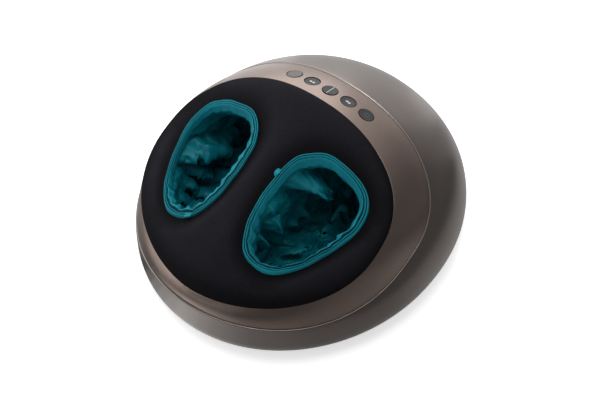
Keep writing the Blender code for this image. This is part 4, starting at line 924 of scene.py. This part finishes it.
# ---- trims
def crests(seed, counts, creased=True):
    """An uneven closed row round a rim, about -1 to 1, summed from rows of so many crests each:
    soft lobes with sharp creases between them, or plain waves."""
    draw = np.random.default_rng(seed)
    turn = np.arange(RIM) / RIM * TAU
    swing, top, warp = (0.45, 6, 0.8) if creased else (0.4, 5, 0.9)
    total = np.zeros(RIM)
    for count in counts:
        swell = 1 - swing + swing * np.sin(turn * draw.integers(2, top) + draw.uniform(0, TAU))
        shift = draw.uniform(0, TAU) + warp * np.sin(3 * turn + draw.uniform(0, TAU))
        if creased:
            total += swell * (2 * np.abs(np.sin(count * turn / 2 + shift)) - 1)
        else:
            total += swell * np.sin(count * turn + shift)
    return total / math.sqrt(len(counts))


def slackness(side, angles):
    """How loose the tape lies: taut on one side of an opening and puckered on the other."""
    facing = side * np.cos(angles) * NEAR_WAY[0] + np.sin(angles) * NEAR_WAY[1]
    return 0.22 + 0.78 * np.clip(facing * 1.2 + 0.55, 0.0, 1.0)


def sewn_tab(side, angle, start):
    """The folded end of a tape beside a rim: points, and faces that follow start others."""
    inset, half_length, count, ring = 0.0010, 0.0048, 17, 20
    ends = rim_ring(side, inset, 0.0, np.array([angle - 0.02, angle, angle + 0.02]))
    along = unit(ends[2] - ends[0])
    up = np.array([0.0, 0.0, 1.0])
    outward = unit(np.cross(along, up))
    if outward[0] * (ends[1][0] - side * POCKET_MIDDLE_X) < 0:
        outward = -outward
    turn = np.arange(ring) / ring * TAU
    rows = []
    for step in np.linspace(-1.0, 1.0, count):
        size = max(0.3, 1 - abs(step) ** 5)
        over = (0.0004 + 0.0030 * np.cos(turn)) * size
        rise = (0.0008 + 0.0014 * np.sin(turn) + 0.0005 * np.cos(2 * turn)
                + 0.0004 * math.sin(5 * step)) * size
        rows.append(ends[1] + along * step * half_length + outward * over[:, None]
                    + up * rise[:, None])
    return np.concatenate(rows), tube_faces(count, ring, start)


def tape_rows():
    """The tape's section: inset, drop, and the shares of pucker, lean, sag and hem in each."""
    for inset, drop in TAPE_ROLLS:
        share = min(1.0, max(0.0, inset / ROLL_WIDTH - 1))
        yield inset, drop, 0.25 * share, 0.0, 0.3 * share, 0.0
    for k, (inset, drop) in enumerate(TAPE_BAND):
        share = (k + 1) / len(TAPE_BAND)
        yield inset, drop, 0.4 + share, share, 0.5 + 0.5 * share, share ** 2
    for inset, drop in TAPE_BACK:
        share = (drop - BACK_TOP) / BACK_HEIGHT
        front = inset > BACK_SEWN
        yield inset, drop, (0.3 + share) * front, share, share * front, share ** 2 * front


def zip_trim(hand, side):
    """Woven tape round the rim: two stitched rolls, and a band that hangs puckered from them."""
    name = f"zip_tape_{hand}"
    seed = 11 if side > 0 else 29
    loose = slackness(side, RIM_ANGLES)
    sway = TAPE_SWAY * (0.5 + 0.5 * np.clip(crests(seed, (7, 11), creased=False), -1, 1))
    rise = TAPE_RISE * crests(seed + 7, (8, 13), creased=False)
    pucker_in = PUCKER_IN * crests(seed + 1, (18, 26)) * loose
    pucker_down = -PUCKER_UP * crests(seed + 2, (16, 24)) * loose
    hem_down = HEM_DOWN * crests(seed + 3, (10, 18, 32)) * (0.4 + 0.6 * loose)
    lean = RIGHT_LEAN * loose if side > 0 else LEFT_LEAN * loose ** 2
    rows = [rim_ring(side, inset * TENTH + sway + moved * pucker_in + leaning * lean,
                     drop * TENTH + rise + sunk * pucker_down + hung * hem_down)
            for inset, drop, moved, leaning, sunk, hung in tape_rows()]
    points, faces = np.concatenate(rows), band_faces(len(rows), RIM, True)
    tab, sides = sewn_tab(side, TABS[hand], len(points))
    mesh = mesh_of(name, np.concatenate([points, tab]), faces + sides)
    item = add_piece(name, mesh, TRIM_FINISH, replaces=f"zip_trim_{hand}", smooth=60.0)
    # The groove faces take the thread's dark teal with painted shade of the grooves
    item.data.materials.append(THREAD_AND_GROOVE_SHADE_FINISH.made)
    for face in item.data.polygons:
        if face.index // RIM in THREAD_AND_SHADE_ROWS:
            face.material_index = 1


# ---- liners
def way_to_line(points, line):
    """Each point's distance from a bent line, and a factor that fades towards the line's ends."""
    best = np.full(len(points), 1e9)
    taper = np.ones(len(points))
    run = run_along(line)
    for k, start in enumerate(line[:-1]):
        step = line[k + 1] - start
        share = np.clip((points - start) @ step / (step @ step), 0.0, 1.0)
        far = np.linalg.norm(points - start - share[:, None] * step, axis=1)
        place = (run[k] + share * (run[k + 1] - run[k])) / run[-1]
        nearer = far < best
        best = np.where(nearer, far, best)
        fade = np.minimum(1.0, 4.0 * np.minimum(place + 0.12, 1.06 - place))
        taper = np.where(nearer, fade, taper)
    return best, np.clip(taper, 0.0, 1.0)


def folded(hand, side, points, free):
    """The pocket's slack cloth: drawn in from its wall, with its main folds raised."""
    axis = points_at(side * POCKET_MIDDLE_X, np.clip(points[:, 1], -0.110, 0.0),
                     np.maximum(points[:, 2], LINER_FLOOR + 0.035))
    inward = unit(axis - points)
    shift = Vector((7.0 * side, 0.0, 0.0))
    sway = np.array([noise.fractal(Vector(p) * 26.0 + shift, 1.0, 2.0, 2) for p in points])
    wobble = 1 + 0.35 * np.array([noise.noise(Vector(p) * 60.0) for p in points])
    lift = SLACK_INSET * (1 + 0.9 * sway)
    for line, height, width in FOLDS[hand]:
        far, taper = way_to_line(points, np.array(line) * MM)
        share = far / (width * MM * wobble)
        lift = lift + FOLD_RISE * height * MM * taper * np.maximum(0.0, 1 - share) ** 1.15
        lift = lift - FOLD_VALLEY * height * MM * taper * np.exp(-((share - 1.5) / 0.45) ** 2)
    return points + inward * np.maximum(lift, 0.0)[:, None] * free[:, None]


def liner_row(side, share, angles):
    """A ring of the pocket's wall, which runs back under the deck for the toes."""
    below = max(0.0, share - LINER_NECK_SHARE)
    reach = min(1.0, below / (TOE_ROOF_SHARE - LINER_NECK_SHARE))
    taut = (1 - slackness(side, angles)) * max(0.0, 1 - share / TAUT_SHARE)
    x, y = opening_xy(side, angles, SOFT_GAP + LINER_WALL + LINER_INSET + TAUT_INSET * taut)
    top = rim_height(x, y) - LINER_DROP - TAUT_DROP * taut
    along = np.maximum(0.0, np.sin(angles))
    outward = np.maximum(0.0, np.cos(angles))
    wave = WALL_WAVE * np.sin(WALL_WAVES * angles) * math.sin(math.pi * share)
    tuck = LINER_FLOOR_TUCK * max(0.0, share - TOE_ROOF_SHARE) / (1 - TOE_ROOF_SHARE)
    x = x - side * outward * (tuck + np.abs(wave))
    y = y + TOE_REACH * reach * along + tuck * (along == 0) * np.abs(np.sin(angles))
    floor_height = LINER_FLOOR + LINER_WALL
    return points_at(x, y, top + (floor_height - top) * share)


def crumple(item, free, spare, frames, bend, keep):
    """Lets a sheet that is cut too large by the share spare buckle about its shape, of which
    every point keeps the share keep at least, and settles the result."""
    group = item.vertex_groups.new(name="held")
    for index, share in enumerate(free):
        group.add([index], 1.0 - share * (1.0 - keep), "REPLACE")
    step = item.modifiers.new("cloth", "CLOTH")
    cloth = step.settings
    for name, value in CLOTH.items():
        setattr(cloth, name, value)
    cloth.bending_stiffness = bend
    cloth.vertex_group_mass = "held"
    cloth.shrink_min = -spare
    cloth.effector_weights.gravity = 0.25
    step.collision_settings.use_collision = False
    step.point_cache.frame_start = 1
    step.point_cache.frame_end = frames
    scene = bpy.context.scene
    for moment in range(1, frames + 1):
        scene.frame_set(moment)
    settle(item)
    scene.frame_set(1)
    item.vertex_groups.clear()


def swirl(at):
    """Three noises side by side, as a way to bend creases."""
    shifts = ((0.0, 0.0, 0.0), (9.3, -1.5, 3.7), (-4.1, 7.7, 1.9))
    return Vector([noise.noise(at + Vector(shift)) for shift in shifts])


def crease(mesh, side):
    """Fine sharp creases over the settled cloth, fading out towards its sewn edge."""
    place = vertex_values(mesh, "co").astype(float)
    normal = vertex_values(mesh, "normal")
    axis = np.array([side * POCKET_MIDDLE_X, -0.05, LINER_FLOOR + 0.06])
    facing = np.sign(((axis - place) * normal).sum(axis=1))
    below = rim_height(place[:, 0], place[:, 1]) - 0.016 - place[:, 2]
    depth = np.clip(below / 0.012, 0.0, 1.0)
    lift = np.zeros(len(place))
    for scale, sharp, rise in CREASES:
        shift = Vector((3.1 * side, scale, 0.0))
        for k, p in enumerate(place):
            at = Vector((p[0] * scale, p[1] * scale, p[2] * scale * 0.45)) + shift
            at += 0.7 * swirl(at * 0.6)
            lift[k] += rise * (1 - min(1.0, abs(noise.noise(at)) * 1.6)) ** sharp
    place += normal * (facing * lift * depth)[:, None]
    place[:, 2] = np.maximum(place[:, 2], LINER_FLOOR + 0.0006)
    place_vertices(mesh, place)


def foot_liner(hand, side):
    """A pocket: folded by code, then let go as a sheet, refined and creased."""
    name = f"pocket_{hand}"
    angles = even_rim(LINER_RING)
    rows = [liner_row(side, share, angles) for share in np.linspace(0.0, 1.0, LINER_ROWS)]
    wall_foot = rows[-1]
    middle = wall_foot.mean(axis=0)
    for k in range(1, LINER_FLOOR_RINGS):
        rows.append(middle + (wall_foot - middle) * (1 - k / LINER_FLOOR_RINGS))
    points = np.concatenate(rows + [middle[None, :]])
    faces = band_faces(len(rows), LINER_RING, False)
    last = (len(rows) - 1) * LINER_RING
    faces += [(last + k, last + (k + 1) % LINER_RING, len(points) - 1) for k in range(LINER_RING)]
    item = add_piece(name, mesh_of(name, points, faces, outward=False), LINER_FINISH,
                     replaces=f"foot_liner_{hand}", smooth=None)
    row_of = np.append(np.repeat(np.arange(len(rows)), LINER_RING), len(rows))
    free = np.clip((row_of - 1) / SEWN_ROWS, 0.0, 1.0)
    shape = folded(hand, side, points, free)
    draw = np.random.default_rng(5 if side > 0 else 8)
    grain = draw.normal(0, CLOTH_GRAIN, shape.shape) * free[:, None]
    place_vertices(item.data, shape + grain)
    crumple(item, free, spare=0.11, frames=20, bend=3.0, keep=0.25)
    move = vertex_values(item.data, "co") - shape
    far = np.linalg.norm(move, axis=1, keepdims=True)
    shape = shape + move * np.minimum(1.0, CLOTH_MOVE / np.maximum(far, TINY))
    shape[:, 2] = np.maximum(shape[:, 2], LINER_FLOOR + 0.0008)
    place_vertices(item.data, shape)
    step = item.modifiers.new("fine", "SUBSURF")
    step.levels = step.render_levels = 1
    settle(item)
    crease(item.data, side)


# ---- stage, light and camera
# Shades of the floor's near ring of cards at some azimuths in degrees
NEAR_SHADES = {-160: 0.50, -136: 0.24, -121: 0.10, -108: 0.80, -96: 1.36, -82: 0.85, -69: 0.50,
               -43: 0.34, -13: 0.38, 9: 0.56, 27: 0.55, 46: 0.62, 60: 0.72, 75: 0.85, 100: 0.95}


def floor():
    """A white floor that glows where it is seen, and a little in reflections."""
    reach, glowing, mirrored_share = 6, 0.57, 0.1
    corners = [(-reach, -reach, 0), (reach, -reach, 0), (reach, reach, 0), (-reach, reach, 0)]
    item = linked("studio_floor", mesh_of("studio_floor", corners, [(0, 1, 2, 3)], outward=False))
    made = Finish("studio_white", (0.92, 0.92, 0.92), 0.9)
    made.bump(made.noise(40.0), 0.0001, 0.05)
    path = made.node("LightPath").outputs
    mirrored = made.math("MAXIMUM", path["Is Glossy Ray"], path["Is Transmission Ray"])
    mirrored = made.math("MULTIPLY", mirrored, mirrored_share)
    seen = made.math("MAXIMUM", path["Is Camera Ray"], mirrored)
    glow = made.node("Emission", {"Strength": made.math("MULTIPLY", seen, glowing)})
    both = made.node("AddShader", {0: made.shader.outputs[0], 1: glow.outputs[0]})
    made.links.new(both.outputs[0], made.nodes["Material Output"].inputs["Surface"])
    item.data.materials.append(made.made)


def lamp(name, place, size, power, mirrored=True):
    data = bpy.data.lights.new(name, "AREA")
    data.shape = "RECTANGLE"
    data.size, data.size_y = size
    data.energy = power
    item = linked(name, data)
    item.location = place
    aim = Vector((0.0, 0.0, 0.1))
    item.rotation_euler = (aim - Vector(place)).to_track_quat("-Z", "Y").to_euler()
    item.visible_glossy = mirrored


def world():
    """White where it is seen or reflected, and a plain soft fill elsewhere."""
    graph = Graph(bpy.data.worlds.new("studio"))
    path = graph.node("LightPath").outputs
    seen = graph.math("MAXIMUM", path["Is Camera Ray"], path["Is Glossy Ray"])
    seen = graph.math("MAXIMUM", seen, path["Is Transmission Ray"])
    strength = graph.node("MapRange", {"Value": seen}, To_Min=0.42)
    ground = graph.nodes["Background"]
    graph.adjust(ground, Color=(1.0, 1.0, 1.0, 1.0))
    graph.links.new(strength.outputs[0], ground.inputs["Strength"])
    bpy.context.scene.world = graph.made


def card(name, points, faces, shade):
    """A plain card beside the set. Only the satin shells show it, by reflection."""
    item = linked(name, mesh_of(name, points, faces, outward=False))
    made = Finish(name + "_card", (0.0, 0.0, 0.0), 0.9, Specular_IOR_Level=0.0,
                  Emission_Color=(shade, shade, shade, 1.0), Emission_Strength=1.0)
    made.bump(made.noise(30.0), 0.001, 0.2)
    item.data.materials.append(made.made)
    for sight in ("visible_camera", "visible_shadow", "visible_diffuse", "visible_transmission"):
        setattr(item, sight, False)


def standing(*elevations):
    """Edges of upright cards at elevations in degrees, as pairs of reach and height."""
    distance = 2.6
    return [(distance, distance * math.tan(math.radians(e))) for e in elevations]


def lying(*reaches):
    """Edges of cards on the floor."""
    return [(reach, 0.0012) for reach in reaches]


def round_cards(names, azimuths, edges, shades, steps=12):
    """Cards round the set between two azimuths in degrees, each from one edge to the next."""
    turns = np.radians(np.linspace(*azimuths, steps + 1))
    faces = [(k, k + 1, k + steps + 2, k + steps + 1) for k in range(steps)]
    for name, near, far, shade in zip(names.split(), edges, edges[1:], shades):
        points = [(reach * math.cos(turn), reach * math.sin(turn), height)
                  for reach, height in (near, far) for turn in turns]
        card(name, points, faces, shade)


def cards():
    round_cards("front_right", (-78, -15), standing(-1, 46), [0.04])
    round_cards("right_low right_middle right_high", (-15, 66), standing(-1, 20, 36, 56),
                [0.13, 0.26, 0.50])
    round_cards("back_right_low back_right_high", (66, 82), standing(-1, 30, 56), [0.42, 0.72], 4)
    round_cards("front", (-125, -78), standing(8, 50), [0.35])
    round_cards("floor_right floor_right_middle floor_right_far", (-80, 66),
                lying(0.36, 0.60, 0.85, 2.6), [0.04, 0.17, 0.30])
    round_cards("floor_back_right", (66, 82), lying(0.36, 2.6), [0.45], 4)
    round_cards("floor_back", (95, 130), lying(0.30, 0.85), [0.80])
    round_cards("floor_front", (-118, -80), lying(0.36, 2.6), [0.35])
    round_cards("floor_left", (172, 236), lying(0.42, 1.6), [1.45])
    near, wide = list(NEAR_SHADES), 5
    for k, azimuth in enumerate(range(near[0], near[-1], wide)):
        shade = float(np.interp(azimuth + wide / 2, near, list(NEAR_SHADES.values())))
        round_cards(f"near_floor_{k}", (azimuth, azimuth + wide), lying(0.20, 0.37), [shade], 2)
    round_cards("near_floor_left", (150, 195), lying(0.20, 0.42), [0.60])
    overhead = [(-0.95, -0.35, 2.2), (0.2, -0.35, 2.2), (0.2, 0.85, 2.2), (-0.95, 0.85, 2.2)]
    card("overhead", overhead, [(0, 1, 2, 3)], 9.0)


def camera():
    """The camera that was solved from the photograph."""
    azimuth, elevation, distance = math.radians(37.989), math.radians(52.980), 1.7446
    aim = Vector((0.0, -0.0104, 0.0))
    photo_width, shift_x, shift_y = 600, 5.0, 27.0
    flat = math.cos(elevation)
    back = Vector((math.sin(azimuth) * flat, -math.cos(azimuth) * flat, math.sin(elevation)))
    right = Vector((math.cos(azimuth), math.sin(azimuth), 0.0))
    data = bpy.data.cameras.new("camera")
    data.sensor_width = 36.0
    data.sensor_fit = "HORIZONTAL"
    data.lens = 83.44
    data.shift_x, data.shift_y = shift_x / photo_width, shift_y / photo_width
    item = linked("camera", data)
    turn = Matrix((right, back.cross(right), back)).transposed().to_4x4()
    item.matrix_world = Matrix.Translation(back * distance + aim) @ turn
    bpy.context.scene.camera = item


outer_shell()
deck_shell()
for key in KEY_FRAMES:
    key_cap(key)
glyphs()
foot_pad()
for hand, side in SIDES.items():
    zip_trim(hand, side)
    foot_liner(hand, side)
dress_inside()
floor()
lamp("back_softbox", (-1.9, 1.9, 1.6), (2.8, 2.6), 42.0)
lamp("top_softbox", (-0.25, 0.10, 2.2), (1.7, 1.7), 27.0, mirrored=False)
lamp("left_softbox", (-2.3, -0.6, 1.2), (1.2, 1.6), 12.0)
lamp("front_left_softbox", (-1.7, -1.5, 0.75), (1.5, 1.0), 8.0)
cards()
world()
camera()

bpy.context.scene.view_settings.view_transform = "Standard"
